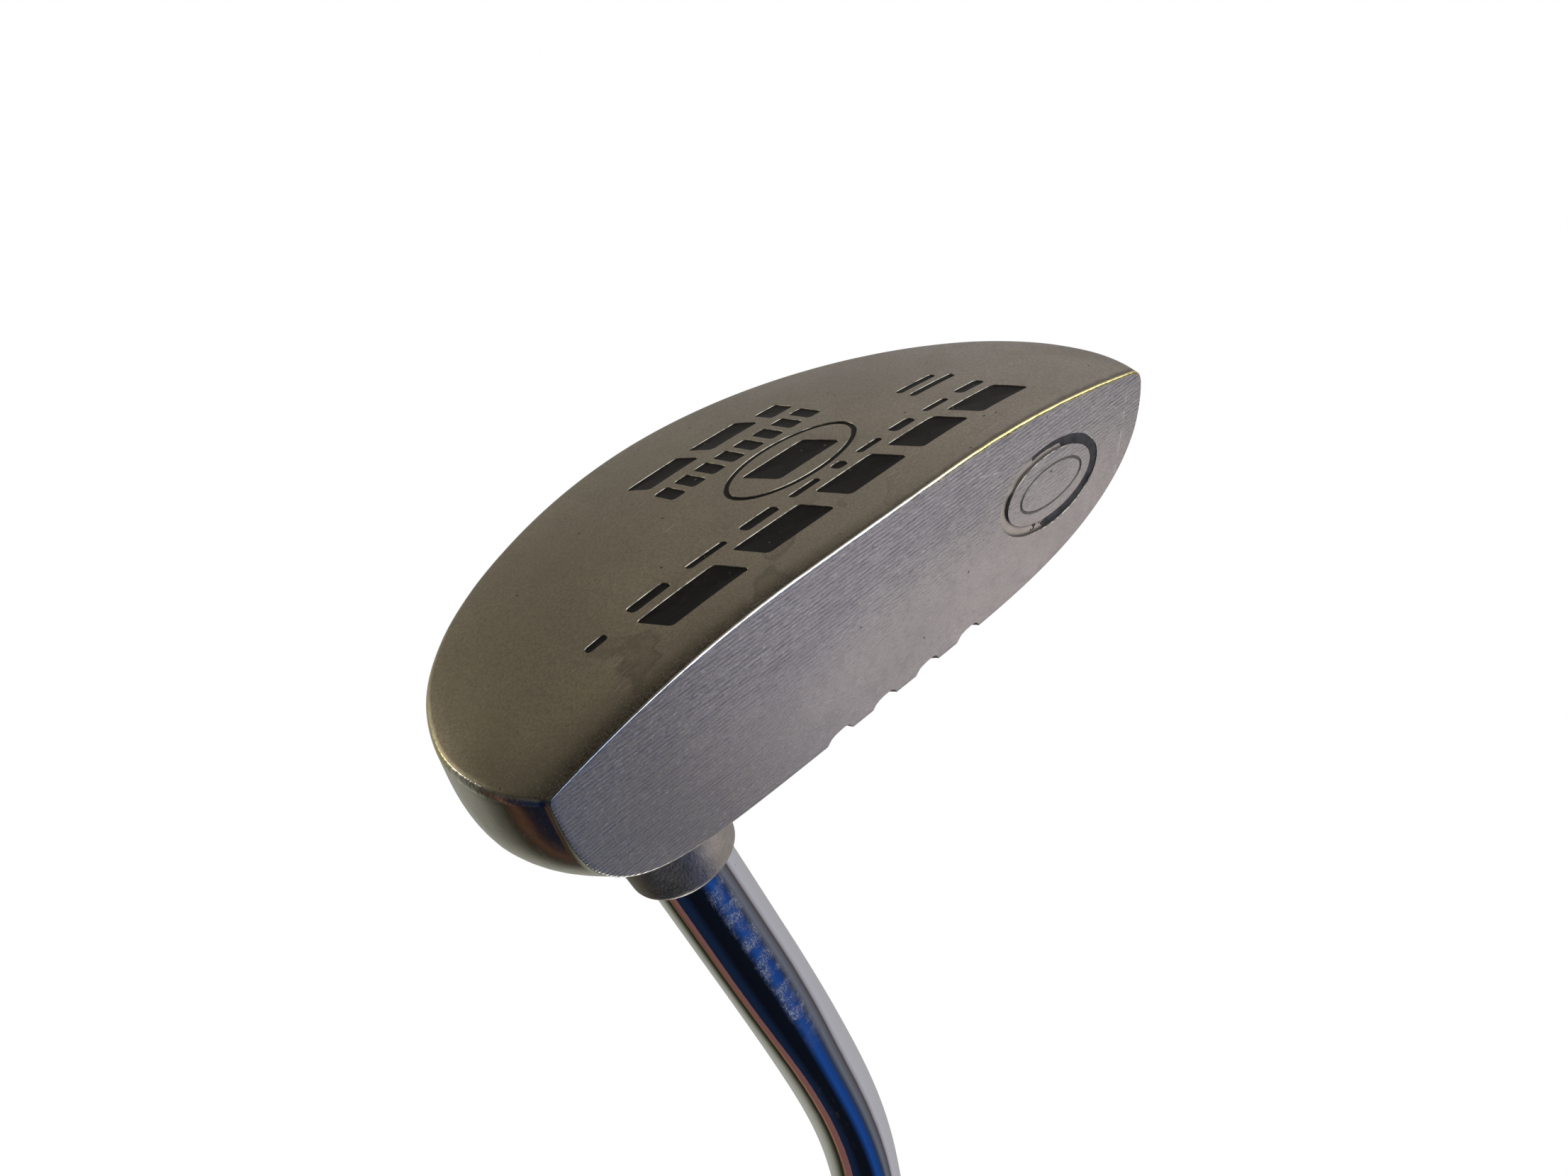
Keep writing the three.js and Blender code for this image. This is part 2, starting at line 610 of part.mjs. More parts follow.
// Separate triangles, so that every facet has its own normal
function geometryOf(solid) {
  const { triVerts, vertProperties, numProp } = solid.getMesh();
  const positions = new Float32Array(triVerts.length * 3);
  triVerts.forEach((vertex, i) => {
    for (let k = 0; k < 3; k++) positions[3 * i + k] = vertProperties[vertex * numProp + k];
  });
  const geometry = new THREE.BufferGeometry();
  geometry.setAttribute("position", new THREE.BufferAttribute(positions, 3));
  geometry.computeVertexNormals();
  return geometry;
}

const putter = new THREE.Group();

function addPiece(name, solid, finish) {
  const material = new THREE.MeshStandardMaterial(FINISHES[finish]);
  const mesh = new THREE.Mesh(geometryOf(solid), material);
  mesh.name = name;
  putter.add(mesh);
}

addPiece("head", buildHead(), "steel");
addPiece("bond_sleeve", buildBondSleeve(), "epoxy");
addPiece("shaft", buildShaft(), "chrome");
addPiece("tip_plug", buildTipPlug(), "cork");
addPiece("grip_tape", buildGripTape(), "tape");
addPiece("grip", buildGrip(), "rubber");
addPiece("grip_cap", buildGripCap(), "plastic");
for (const mark of MARKS) {
  const fill = inlay(mark, PAINT.sideGap, PAINT.top, CUT.depth - PAINT.under);
  addPiece("paint_" + mark.name, fill, "paint");
}

export default putter;
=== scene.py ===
"""A mallet putter: steel head, double-bend chrome shaft and rubber grip.

Millimetres in the CAD frame, turned into metres when a mesh is made. The face stands near y = 0
and looks towards -y. The heel is at +x, the toe at -x, the back at +y, and the sole's lowest
point is at z = 0. The shaft rises from a boss near the heel. Lights are placed in metres.
"""
import math
from collections import namedtuple

import bmesh
import bpy
import numpy as np
from mathutils import Matrix, Vector


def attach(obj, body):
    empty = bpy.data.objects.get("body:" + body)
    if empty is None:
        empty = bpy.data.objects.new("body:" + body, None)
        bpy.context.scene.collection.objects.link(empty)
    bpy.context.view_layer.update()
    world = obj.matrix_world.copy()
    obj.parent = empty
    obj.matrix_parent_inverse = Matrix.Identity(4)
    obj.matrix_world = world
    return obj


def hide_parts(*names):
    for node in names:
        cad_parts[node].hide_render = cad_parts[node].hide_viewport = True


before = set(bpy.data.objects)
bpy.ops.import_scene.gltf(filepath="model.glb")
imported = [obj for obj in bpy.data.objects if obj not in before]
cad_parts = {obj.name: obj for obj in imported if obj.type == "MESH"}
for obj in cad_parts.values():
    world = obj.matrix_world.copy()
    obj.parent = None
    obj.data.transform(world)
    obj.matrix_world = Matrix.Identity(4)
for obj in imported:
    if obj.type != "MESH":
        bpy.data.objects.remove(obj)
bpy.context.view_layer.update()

MM = 0.001
DEG = math.pi / 180
scene = bpy.context.scene

# ---------------------------------------------------------------- head dimensions
SOLE_EDGE_Z, CROWN_Z = 3.9, 20.15
SOLE_FLAT = 0.25              # share of the sole's radius that is flat
# angle round the sole's centre (0 heel, 90 back, 180 toe), radius of the sole's edge
SOLE_EDGE = [
    (0, 39.6), (3, 41.0), (6, 42.2), (10, 43.45), (15, 44.6), (20, 45.25), (30, 45.7),
    (40, 45.3), (50, 44.5), (60, 43.75), (70, 43.35), (80, 43.2), (90, 43.15), (100, 43.05),
    (110, 42.98), (120, 42.98), (130, 43.1), (140, 43.25), (150, 43.3), (160, 42.9),
    (165, 42.45), (170, 41.85), (174, 41.15), (177, 40.5), (180, 39.7)]
# powers of the superellipse between sole edge and crown: along the radius, along the height
HEEL_SECTION, BACK_SECTION, TOE_SECTION = (6.5, 3.3), (2.7, 1.75), (3.38, 2.07)
HEEL_BULGE = 0.022            # share by which the heel's wall swells beyond the sole's edge
FACE_ROLL_R, FACE_MID_Z = 180.0, 10.4
DOME_RISE, DOME_FRONT, DOME_BACK, DOME_HALF = 2.4, 8.0, 36.0, 30.0
FACE_BLEND_Y = 9.0            # how far back the body follows the shape of the face

STEP_DEG = 0.75
SOLE_ROWS, CORNER_ROWS, WALL_ROWS = 30, 6, 66
STRIP_ROWS, FACE_ROWS = 6, 22
LEAD, LEAD_TOP = 0.26, 0.42   # width of the face's worn edge, at the sole and at the crown
LEAD_Z, LEAD_RUN = 12.5, 5.0  # height where the one width starts to turn into the other
# angle, reach of the rounding between sole and wall
RIM_REACH = [(0, 0.55), (4, 0.75), (10, 0.85), (18, 0.75), (30, 0.8), (60, 1.0), (120, 1.1),
             (150, 1.2), (170, 1.4), (180, 1.5)]
WEAR_ALONG_X = [(-40, 1.1), (-10, 1.0), (12, 0.8), (30, 0.5)]   # x, share of the edge's width
SPINE_HALF, SPINE_Z = 29, 10.8   # the line that the face's rings close in on

# ---------------------------------------------------------------- boss and bore
RIM = np.array([27.05, 8.48, 28.0])      # centre of the boss's rim
TIP_DIR = np.array([-0.124, -0.136, 0.983])
TIP_DIR = TIP_DIR / np.linalg.norm(TIP_DIR)
BOSS_R, BOSS_LIP, BOSS_ROUND = 5.95, 5.4, 0.7
BOSS_FILLET, BOSS_SPREAD = 1.15, 0.45
BOSS_SIDES, TURN_SIDES = 144, 96
BORE_R, BORE_DEPTH, INSERT = 4.96, 21.5, 20.9

# ---------------------------------------------------------------- alignment grooves
GROOVE_X = [-8.9 + 6.3 * i for i in range(4)]
GROOVE_DEPTH, GROOVE_BACK, GROOVE_FRONT, GROOVE_RUN_OUT = 1.15, 31.0, -2, 6
# x from the groove's centre, height from the crown
GROOVE_PROFILE = [
    (-2.2, 1.2), (-2.1, 0.06), (-1.8, -0.05), (-1.5, -0.27), (-1.3, -0.6), (-1.1, -0.92),
    (-0.7, -1.12), (0.1, -1.12), (0.9, -1.02), (1.4, -0.86), (1.75, -0.62), (2.1, -0.32),
    (2.45, -0.08), (2.75, 0.04), (3.0, 1.2)]

# ---------------------------------------------------------------- engraving
MARK_DEPTH, FLARE = 0.45, 0.06
# centre in x, centre in y (sole) or z (face), half lengths in the same order, width of the band
Ring = namedtuple("Ring", "x yz half_x half_yz band")
SOLE_RING = Ring(-3.4, 16.95, 8.5, 4.65, 0.55)
FACE_RING = Ring(-23.2, 9.4, 7.9, 4.7, 1.15)
FACE_LINE = (-23.4, 9.5, 4.9, 2.15)      # fine oval inside the face's ring: centre, half lengths
# marks on the sole: name, centre x, centre y, length, width, slant
MARKS = [("bold_bar_%d" % (i + 1), x, 7.9 - 0.25 * abs(i - 2), length, 3.7, 1.6)
         for i, (x, length) in enumerate([
             (-23.2, 7.2), (-14.4, 6.8), (-5.0, 7.9), (5.7, 8.7), (17.3, 9.4)])]
MARKS += [("thin_dash_%d" % (i + 1), x, 11.15, length, 0.8 if i % 2 else 1.25, 0.3)
          for i, (x, length) in enumerate([
              (-24.4, 3.6), (-19.2, 3.4), (-14.1, 3.0), (-9.3, 3.2), (-5.0, 1.5), (-0.2, 3.8),
              (5.9, 4.4), (12.7, 4.8), (19.9, 4.6)])]
MARKS += [("short_bar_%d" % (i + 1), -11.6 + 2.7 * i, 24.1 + i * 0.08, 1.85, 3.3, 0.4)
          for i in range(8)]
MARKS += [
    ("square_tab", -10.6, 28.6, 3.2, 2.9, 0.4),
    ("back_bar_1", -3.9, 29.6, 6.8, 3.1, 1.2),
    ("back_bar_2", 4.8, 29.6, 7.0, 3.1, 1.2),
    ("toe_dash_1", -23.0, 15.3, 6.6, 0.95, 0),
    ("toe_dash_2", -22.4, 17.3, 5.6, 0.95, 0),
    ("heel_dash", 26.6, 10.5, 2.4, 0.95, 0),
    ("sole_block", SOLE_RING.x, SOLE_RING.yz, 8.6, 4.2, 1.8)]

# ---------------------------------------------------------------- shaft, grip and cap
TIP_R, BUTT_R, WALL = 4.7, 7.35, 0.6
LENGTH, LIE_SLOPE = 889.0, 0.325
GRIP_LENGTH, GRIP_LOW_R, GRIP_TOP_W, GRIP_TOP_D, GRIP_TAPE = 266.0, 9.6, 12.9, 14.2, 0.3
CAP_THICK, CAP_VENT = 3.2, 1.1
STRAIGHT = 16                 # straight run above the boss
STEP_COUNT, STEP_FIRST, STEP_LAST = 11, 250.0, 600.0
SHAFT_SIDES, GRIP_SIDES, CAP_SIDES = 72, 208, 144
# height, slope of the shaft's centre line towards +x and towards +y
SLOPE_X = [(0, -.126), (48, -.13), (56, -.142), (66, -.14), (76, -.115), (86, -.062), (97, .012),
           (108, .075), (120, .175), (132, .265), (142, .312), (150, LIE_SLOPE),
           (900, LIE_SLOPE)]
SLOPE_Y = [(0, -.138), (44, -.138), (50, -.075), (56, 0.0), (62, .048), (70, .066), (84, .071),
           (100, .062), (116, .035), (130, .012), (142, 0), (900, 0)]
# stations are distances along the centre line from the shaft's foot
GROUND = RIM[2] / TIP_DIR[2] - INSERT    # from the foot down to z = 0 along the tip
BUTT_S = LENGTH - GROUND - CAP_THICK
GRIP_S = BUTT_S - GRIP_LENGTH


# ---------------------------------------------------------------- curves
def curve(points, at):
    """Smooth curve through (place, value) points, level beyond both ends."""
    last = len(points) - 1
    if at <= points[0][0]:
        return points[0][1]
    if at >= points[-1][0]:
        return points[-1][1]
    i = 0
    while points[i + 1][0] < at:
        i += 1
    (x1, y1), (x2, y2) = points[i], points[i + 1]
    (x0, y0), (x3, y3) = points[max(i - 1, 0)], points[min(i + 2, last)]
    slope1 = (y2 - y0) / (x2 - x0)
    slope2 = (y3 - y1) / (x3 - x1)
    gap = x2 - x1
    t = (at - x1) / gap
    t2, t3 = t * t, t * t * t
    return ((2 * t3 - 3 * t2 + 1) * y1 + (t3 - 2 * t2 + t) * gap * slope1
            + (-2 * t3 + 3 * t2) * y2 + (t3 - t2) * gap * slope2)


def spline(points, per):
    """Catmull-Rom curve through a profile whose first and last segments stay straight."""
    result = [points[0]]
    for i in range(1, len(points) - 2):
        p0, p1, p2, p3 = (np.array(point, float) for point in points[i - 1:i + 3])
        if i == 1:
            p0 = p1 + (p1 - p2)
        if i == len(points) - 3:
            p3 = p2 + (p2 - p1)
        for k in range(per):
            t = k / per
            result.append(tuple(0.5 * (
                (2 * p1) + (-p0 + p2) * t + (2 * p0 - 5 * p1 + 4 * p2 - p3) * t * t
                + (-p0 + 3 * p1 - 3 * p2 + p3) * t ** 3)))
    return result + [points[-2], points[-1]]


def bend(start, corner, end, t):
    """Quadratic curve that rounds a corner."""
    return (1 - t) ** 2 * start + 2 * t * (1 - t) * corner + t * t * end


def ease(k):
    k = np.clip(k, 0, 1)
    return k * k * (3 - 2 * k)


# ---------------------------------------------------------------- the head's surfaces
EDGE_DEG = np.linspace(0, 180, 3601)
EDGE_RADIUS = np.array([curve(SOLE_EDGE, angle) for angle in EDGE_DEG])


def sole_radius(deg):
    return np.interp(deg, EDGE_DEG, EDGE_RADIUS)


def sole_rise(rho):
    """Height of the sole at a share of its radius."""
    share = np.maximum(rho - SOLE_FLAT, 0) / (1 - SOLE_FLAT)
    return SOLE_EDGE_Z * share * share


def sole_z(x, y):
    deg = np.degrees(np.arctan2(np.maximum(y, 0), x))
    return sole_rise(np.hypot(x, y) / sole_radius(deg))


def section(deg):
    """Powers of the wall's section: the end's own at heel and toe, easing to the back's."""
    s = math.sin(deg * DEG)
    share = s ** 4 * 0.35 + s * s * 0.65
    end = HEEL_SECTION if deg < 90 else TOE_SECTION
    return [a + (b - a) * share for a, b in zip(end, BACK_SECTION)]


def bulge(deg):
    return HEEL_BULGE * min(deg / 12, 1) * max(0, 1 - max(deg - 35, 0) / 40)


def face_y(z):
    return (np.asarray(z, float) - FACE_MID_Z) ** 2 / (2 * FACE_ROLL_R)


def dome(x, y):
    """Rise of the crown above its polar section: none at the face, most at DOME_FRONT."""
    across = np.cos(np.pi * np.clip(x, -DOME_HALF, DOME_HALF) / (2 * DOME_HALF)) ** 2
    up = 1 - (1 - np.clip(y, 0, DOME_FRONT) / DOME_FRONT) ** 2
    back = (np.clip(y, DOME_FRONT, DOME_BACK) - DOME_FRONT) / (DOME_BACK - DOME_FRONT)
    return DOME_RISE * across * up * (0.5 + 0.5 * np.cos(np.pi * back))


def crown_z(x, y):
    y = max(y, 0.0)
    deg = math.degrees(math.atan2(y, x))
    rho = math.hypot(x, y) / float(sole_radius(deg))
    n, m = section(deg)
    wall = max(1 - min(rho, 1) ** n, 0) ** (1 / m)
    return SOLE_EDGE_Z + (CROWN_Z - SOLE_EDGE_Z) * wall + float(dome(x, y))


# ---------------------------------------------------------------- mesh helpers
def new_object(name, verts, faces, mats, index=None, smooth=True):
    mesh = bpy.data.meshes.new(name)
    mesh.from_pydata([tuple(float(c) * MM for c in v) for v in verts], [],
                     [tuple(int(i) for i in face) for face in faces])
    for mat in mats:
        mesh.materials.append(mat)
    if index is not None:
        mesh.polygons.foreach_set("material_index", np.asarray(index, np.int32))
    mesh.polygons.foreach_set("use_smooth", np.full(len(mesh.polygons), smooth))
    mesh.update()
    ob = bpy.data.objects.new(name, mesh)
    scene.collection.objects.link(ob)
    return ob


def solid(name, skin, mats, angle=None, index=None):
    """Closed smooth object from (verts, faces), with edges above the angle made sharp."""
    ob = new_object(name, *skin, mats, index)
    bm = bmesh.new()
    bm.from_mesh(ob.data)
    bmesh.ops.recalc_face_normals(bm, faces=bm.faces)
    if bm.calc_volume(signed=True) < 0:
        bmesh.ops.reverse_faces(bm, faces=bm.faces)
    bm.to_mesh(ob.data)
    bm.free()
    ob.data.update()
    if angle is not None:
        sharpen(ob, angle)
    return ob


def sharpen(ob, angle):
    bm = bmesh.new()
    bm.from_mesh(ob.data)
    for edge in bm.edges:
        edge.smooth = not (len(edge.link_faces) == 2 and edge.calc_face_angle(0) > angle * DEG)
    bm.to_mesh(ob.data)
    bm.free()
    ob.data.update()


def loft(rings, closed=False):
    """Skin over closed rings of equal length; the last joins the first, or the ends are capped."""
    n, m = len(rings[0]), len(rings)
    verts = [point for ring in rings for point in ring]
    faces = []
    for i in range(m if closed else m - 1):
        a, b = i * n, ((i + 1) % m) * n
        for j in range(n):
            k = (j + 1) % n
            faces.append((a + j, a + k, b + k, b + j))
    if not closed:
        for base, ring, flip in ((0, rings[0], True), ((m - 1) * n, rings[-1], False)):
            centre = len(verts)
            verts.append(np.mean(np.array(ring), axis=0))
            for j in range(n):
                a, b = base + j, base + (j + 1) % n
                faces.append((centre, b, a) if flip else (centre, a, b))
    return verts, faces


def corner_normals(mesh):
    normals = np.zeros(len(mesh.loops) * 3, np.float32)
    mesh.corner_normals.foreach_get("vector", normals)
    return normals


def store_normals(ob, flip=False):
    """Keeps each corner's smooth normal in an attribute that survives the booleans."""
    normals = corner_normals(ob.data)
    kept = ob.data.attributes.new("keep_n", "FLOAT_VECTOR", "CORNER")
    kept.data.foreach_set("vector", -normals if flip else normals)


def restore_normals(mesh):
    """Turns the stored normals into custom ones; corners without one keep the mesh's own."""
    kept = mesh.attributes.get("keep_n")
    if kept is None:      # guards against a boolean that drops the attribute
        return
    normals = np.zeros(len(mesh.loops) * 3, np.float32)
    kept.data.foreach_get("vector", normals)
    normals = normals.reshape(-1, 3)
    length = np.linalg.norm(normals, axis=1)
    bad = length < 0.2
    normals[~bad] /= length[~bad][:, None]
    normals[bad] = corner_normals(mesh).reshape(-1, 3)[bad]
    mesh.polygons.foreach_set("use_smooth", np.ones(len(mesh.polygons), bool))
    mesh.normals_split_custom_set([tuple(normal) for normal in normals.tolist()])
    mesh.attributes.remove(mesh.attributes["keep_n"])


def boolean(ob, tool, operation):
    mod = ob.modifiers.new("cut", "BOOLEAN")
    mod.operation = operation
    mod.object = tool
    mod.solver = "MANIFOLD"
    mod.material_mode = "INDEX"
    bpy.context.view_layer.update()
    depsgraph = bpy.context.evaluated_depsgraph_get()
    mesh = bpy.data.meshes.new_from_object(
        ob.evaluated_get(depsgraph), preserve_all_data_layers=True, depsgraph=depsgraph)
    ob.modifiers.clear()
    old = ob.data
    ob.data = mesh
    mesh.name = old.name + "_b"
    bpy.data.meshes.remove(old)
    bpy.data.objects.remove(tool)


def install(ob, node):
    """Puts the object in place of a CAD node."""
    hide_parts(node)
    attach(ob, "root")


# ---------------------------------------------------------------- shader helpers
def add_node(tree, kind, inputs=None, **settings):
    node = tree.nodes.new(kind)
    for key, value in settings.items():
        setattr(node, key, value)
    for key, value in (inputs or {}).items():
        if value is None:
            continue
        socket = node.inputs[key]
        if isinstance(value, Value):
            tree.links.new(value.socket, socket)
        elif isinstance(value, tuple) and socket.type == "RGBA":
            socket.default_value = value + (1.0,)
        else:
            socket.default_value = value
    return node


class Value:
    """An output socket; its operators and methods add nodes and give the result as a Value."""

    def __init__(self, tree, socket):
        self.tree = tree
        self.socket = socket

    def new(self, kind, inputs=None, out=0, **settings):
        node = add_node(self.tree, kind, inputs, **settings)
        return Value(self.tree, node.outputs[out])

    def math(self, operation, other=None):
        return self.new("ShaderNodeMath", {0: self, 1: other}, operation=operation)

    def __add__(self, other):
        return self.math("ADD", other)

    def __sub__(self, other):
        return self.math("SUBTRACT", other)

    def __rsub__(self, number):
        return self.new("ShaderNodeMath", {0: number, 1: self}, operation="SUBTRACT")

    def __mul__(self, other):
        return self.math("MULTIPLY", other)

    def __truediv__(self, other):
        return self.math("DIVIDE", other)

    def __pow__(self, other):
        return self.math("POWER", other)

    def __abs__(self):
        return self.math("ABSOLUTE")

    def vector(self, operation, other=None):
        out = "Value" if operation == "DOT_PRODUCT" else 0
        return self.new("ShaderNodeVectorMath", {0: self, 1: other}, out, operation=operation)

    def xyz(self):
        node = add_node(self.tree, "ShaderNodeSeparateXYZ", {0: self})
        return [Value(self.tree, socket) for socket in node.outputs]

    def noise(self, scale=1.0, detail=2.0, rough=0.5, twist=0.0, stretch=None, shift=None):
        """Noise at this position, which may first be stretched and then shifted."""
        at = self.vector("MULTIPLY", stretch) if stretch else self
        if shift:
            at = at.vector("ADD", shift)
        return self.new("ShaderNodeTexNoise", {
            "Vector": at, "Scale": scale, "Detail": detail, "Roughness": rough,
            "Distortion": twist})

    def cells(self, scale, out="Distance"):
        return self.new("ShaderNodeTexVoronoi", {"Vector": self, "Scale": scale}, out)

    def specks(self, scale, outer, inner, patches, start, end):
        """Round specks between two cell distances, only in patches of a coarser noise."""
        dots = self.cells(scale).span(start=outer, end=inner)
        return dots * self.noise(scale=patches, detail=1).span(start=start, end=end)

    def span(self, start, end, low=0.0, high=1.0, smooth=True):
        """Maps start..end to low..high, held beyond both ends."""
        return self.new("ShaderNodeMapRange", {0: self, 1: start, 2: end, 3: low, 4: high},
                        interpolation_type="SMOOTHSTEP" if smooth else "LINEAR")

    def ramp(self, stops):
        """Colour by this value, from (position, colour) stops."""
        node = add_node(self.tree, "ShaderNodeValToRGB", {0: self})
        elements = node.color_ramp.elements
        while len(elements) < len(stops):
            elements.new(0.5)
        for i, (position, colour) in enumerate(stops):
            elements[i].position = position
            elements[i].color = colour + (1,)
        return Value(self.tree, node.outputs[0])

    def mix(self, at_zero, at_one):
        """Colour between two, by this mask."""
        return self.new("ShaderNodeMix", {0: self, 6: at_zero, 7: at_one}, 2, data_type="RGBA",
                        blend_type="MIX")

    def coat(self, mask, colour, amount=None):
        """This colour with another laid over it where the mask is on."""
        return (mask if amount is None else mask * amount).mix(self, colour)

    def tinted(self, colour):
        return self.new("ShaderNodeMix", {0: 1.0, 6: self, 7: colour}, 2, data_type="RGBA",
                        blend_type="MULTIPLY")

    def bump(self, strength, depth, under=None):
        """Normal from this height; depth in millimetres, under is a coarser bump's normal."""
        return self.new("ShaderNodeBump", {
            "Strength": strength, "Distance": depth * MM, "Height": self, "Normal": under})

    def surface(self, rough, normal=None, metallic=0.0, specular=0.5):
        return self.new("ShaderNodeBsdfPrincipled", {
            "Base Color": self, "Metallic": metallic, "Roughness": rough,
            "Specular IOR Level": specular, "Normal": normal})

    def mix_shader(self, at_zero, at_one):
        return self.new("ShaderNodeMixShader", {0: self, 1: at_zero, 2: at_one})


def object_mm(tree):
    """Position in millimetres."""
    coords = add_node(tree, "ShaderNodeTexCoord")
    position = Value(tree, coords.outputs["Object"])
    return position.vector("MULTIPLY", (1000.0, 1000.0, 1000.0))


def material(look):
    """Material named after the function that gives its shader from the position."""
    mat = bpy.data.materials.new(look.__name__)
    mat.use_nodes = True
    tree = mat.node_tree
    tree.nodes.clear()
    add_node(tree, "ShaderNodeOutputMaterial", {"Surface": look(object_mm(tree))})
    return mat


# ---------------------------------------------------------------- steels of the head
def steel_sole(pos):
    """Bead-blasted stainless: warm grey, soft stains, dark pits, a few hairline scratches; painted
    shade along the front edge and the front of the rim.
    """
    x, y, _ = pos.xyz()
    broad = pos.noise(scale=0.055, detail=3, rough=0.55)
    mid = pos.noise(scale=0.22, detail=4, rough=0.6, twist=0.6)
    fine = pos.noise(scale=3.6, detail=3, rough=0.7)
    grain = pos.noise(scale=1.7)
    # stain islands with a crisp outline, mostly in the front half towards the heel
    stain = pos.noise(scale=0.13, detail=2.5, twist=0.35)
    where = y.span(start=15.0, end=4.0) * x.span(start=-12.0, end=8.0)
    island = stain.span(start=0.53, end=0.555) * where
    outline = (stain.span(start=0.515, end=0.545) - stain.span(start=0.55, end=0.58)) * where
    pits = pos.specks(scale=0.55, outer=0.11, inner=0.05, patches=0.35, start=0.52, end=0.6)
    hair = pos.noise(stretch=(0.35, 6.0, 1.0), detail=1, twist=0.15)
    scratch = (hair.span(start=0.705, end=0.72)
               * pos.noise(scale=0.12, detail=1).span(start=0.55, end=0.6))

    base = x.span(start=-38, end=34).mix((0.51, 0.475, 0.43), (0.52, 0.465, 0.355))
    base = broad.span(start=0.3, end=0.7).mix(base.tinted((0.84, 0.84, 0.85)), base)
    base = base.coat(mid.span(start=0.42, end=0.68), (0.36, 0.325, 0.27), amount=0.35)
    base = base.coat(island, (0.25, 0.22, 0.17), amount=0.40)
    base = base.coat(outline, (0.20, 0.18, 0.145), amount=0.42)
    # painted shade beside the worn front edge, deeper and wider towards the heel
    edge = y + pos.noise(scale=0.7) * 0.7
    base = base.coat(edge.span(start=1.75, end=1.0), (0.12, 0.11, 0.085), amount=0.75)
    wide = edge.span(start=7.0, end=1.0) * x.span(start=-6.0, end=30.0)
    base = base.coat(wide, (0.15, 0.135, 0.105), amount=0.6)
    # painted shade, darkest along the middle of the front edge
    narrow = edge.span(start=3.4, end=1.2) * x.span(start=-12.0, end=12.0)
    base = base.coat(narrow, (0.06, 0.052, 0.038), amount=0.72)
    # painted shade on the front of the rim, where the sole rises to its edge
    radius = (x * x + y * y).math("SQRT")
    roll = radius.span(start=36.0, end=43.0) * y.span(start=15.0, end=6.0)
    base = base.coat(roll, (0.15, 0.135, 0.10), amount=0.6)
    base = base.coat(fine.span(start=0.42, end=0.60), (0.24, 0.22, 0.185), amount=0.42)
    speckle = pos.noise(scale=5.5, rough=0.6)
    base = base.coat(speckle.span(start=0.52, end=0.64), (0.80, 0.76, 0.66), amount=0.14)
    base = base.coat(grain.span(start=0.5, end=0.75), (0.30, 0.28, 0.25), amount=0.22)
    base = base.coat(pits, (0.05, 0.045, 0.04), amount=0.8)
    base = base.coat(scratch, (0.8, 0.78, 0.72), amount=0.5)

    height = fine * 0.9 + grain * 0.9 - pits * 1.5
    normal = height.bump(strength=0.35, depth=0.03)
    normal = pos.noise(scale=0.35).bump(strength=0.25, depth=0.12, under=normal)
    return base.surface(rough=mid * 0.10 + 0.36, normal=normal, metallic=1.0)


CUTTER_PITCH = 0.42
# scratches on the face: x and z of one end, x and z of the other, width, strength
FACE_SCRATCHES = [
    (-37.2, 4.6, -33.6, 14.6, 0.10, 0.55), (-17.6, 4.4, -13.2, 2.8, 0.06, 0.6),
    (-16.4, 3.6, -14.0, 3.4, 0.05, 0.6), (10.0, 15.0, 15.0, 12.6, 0.05, 0.35)]


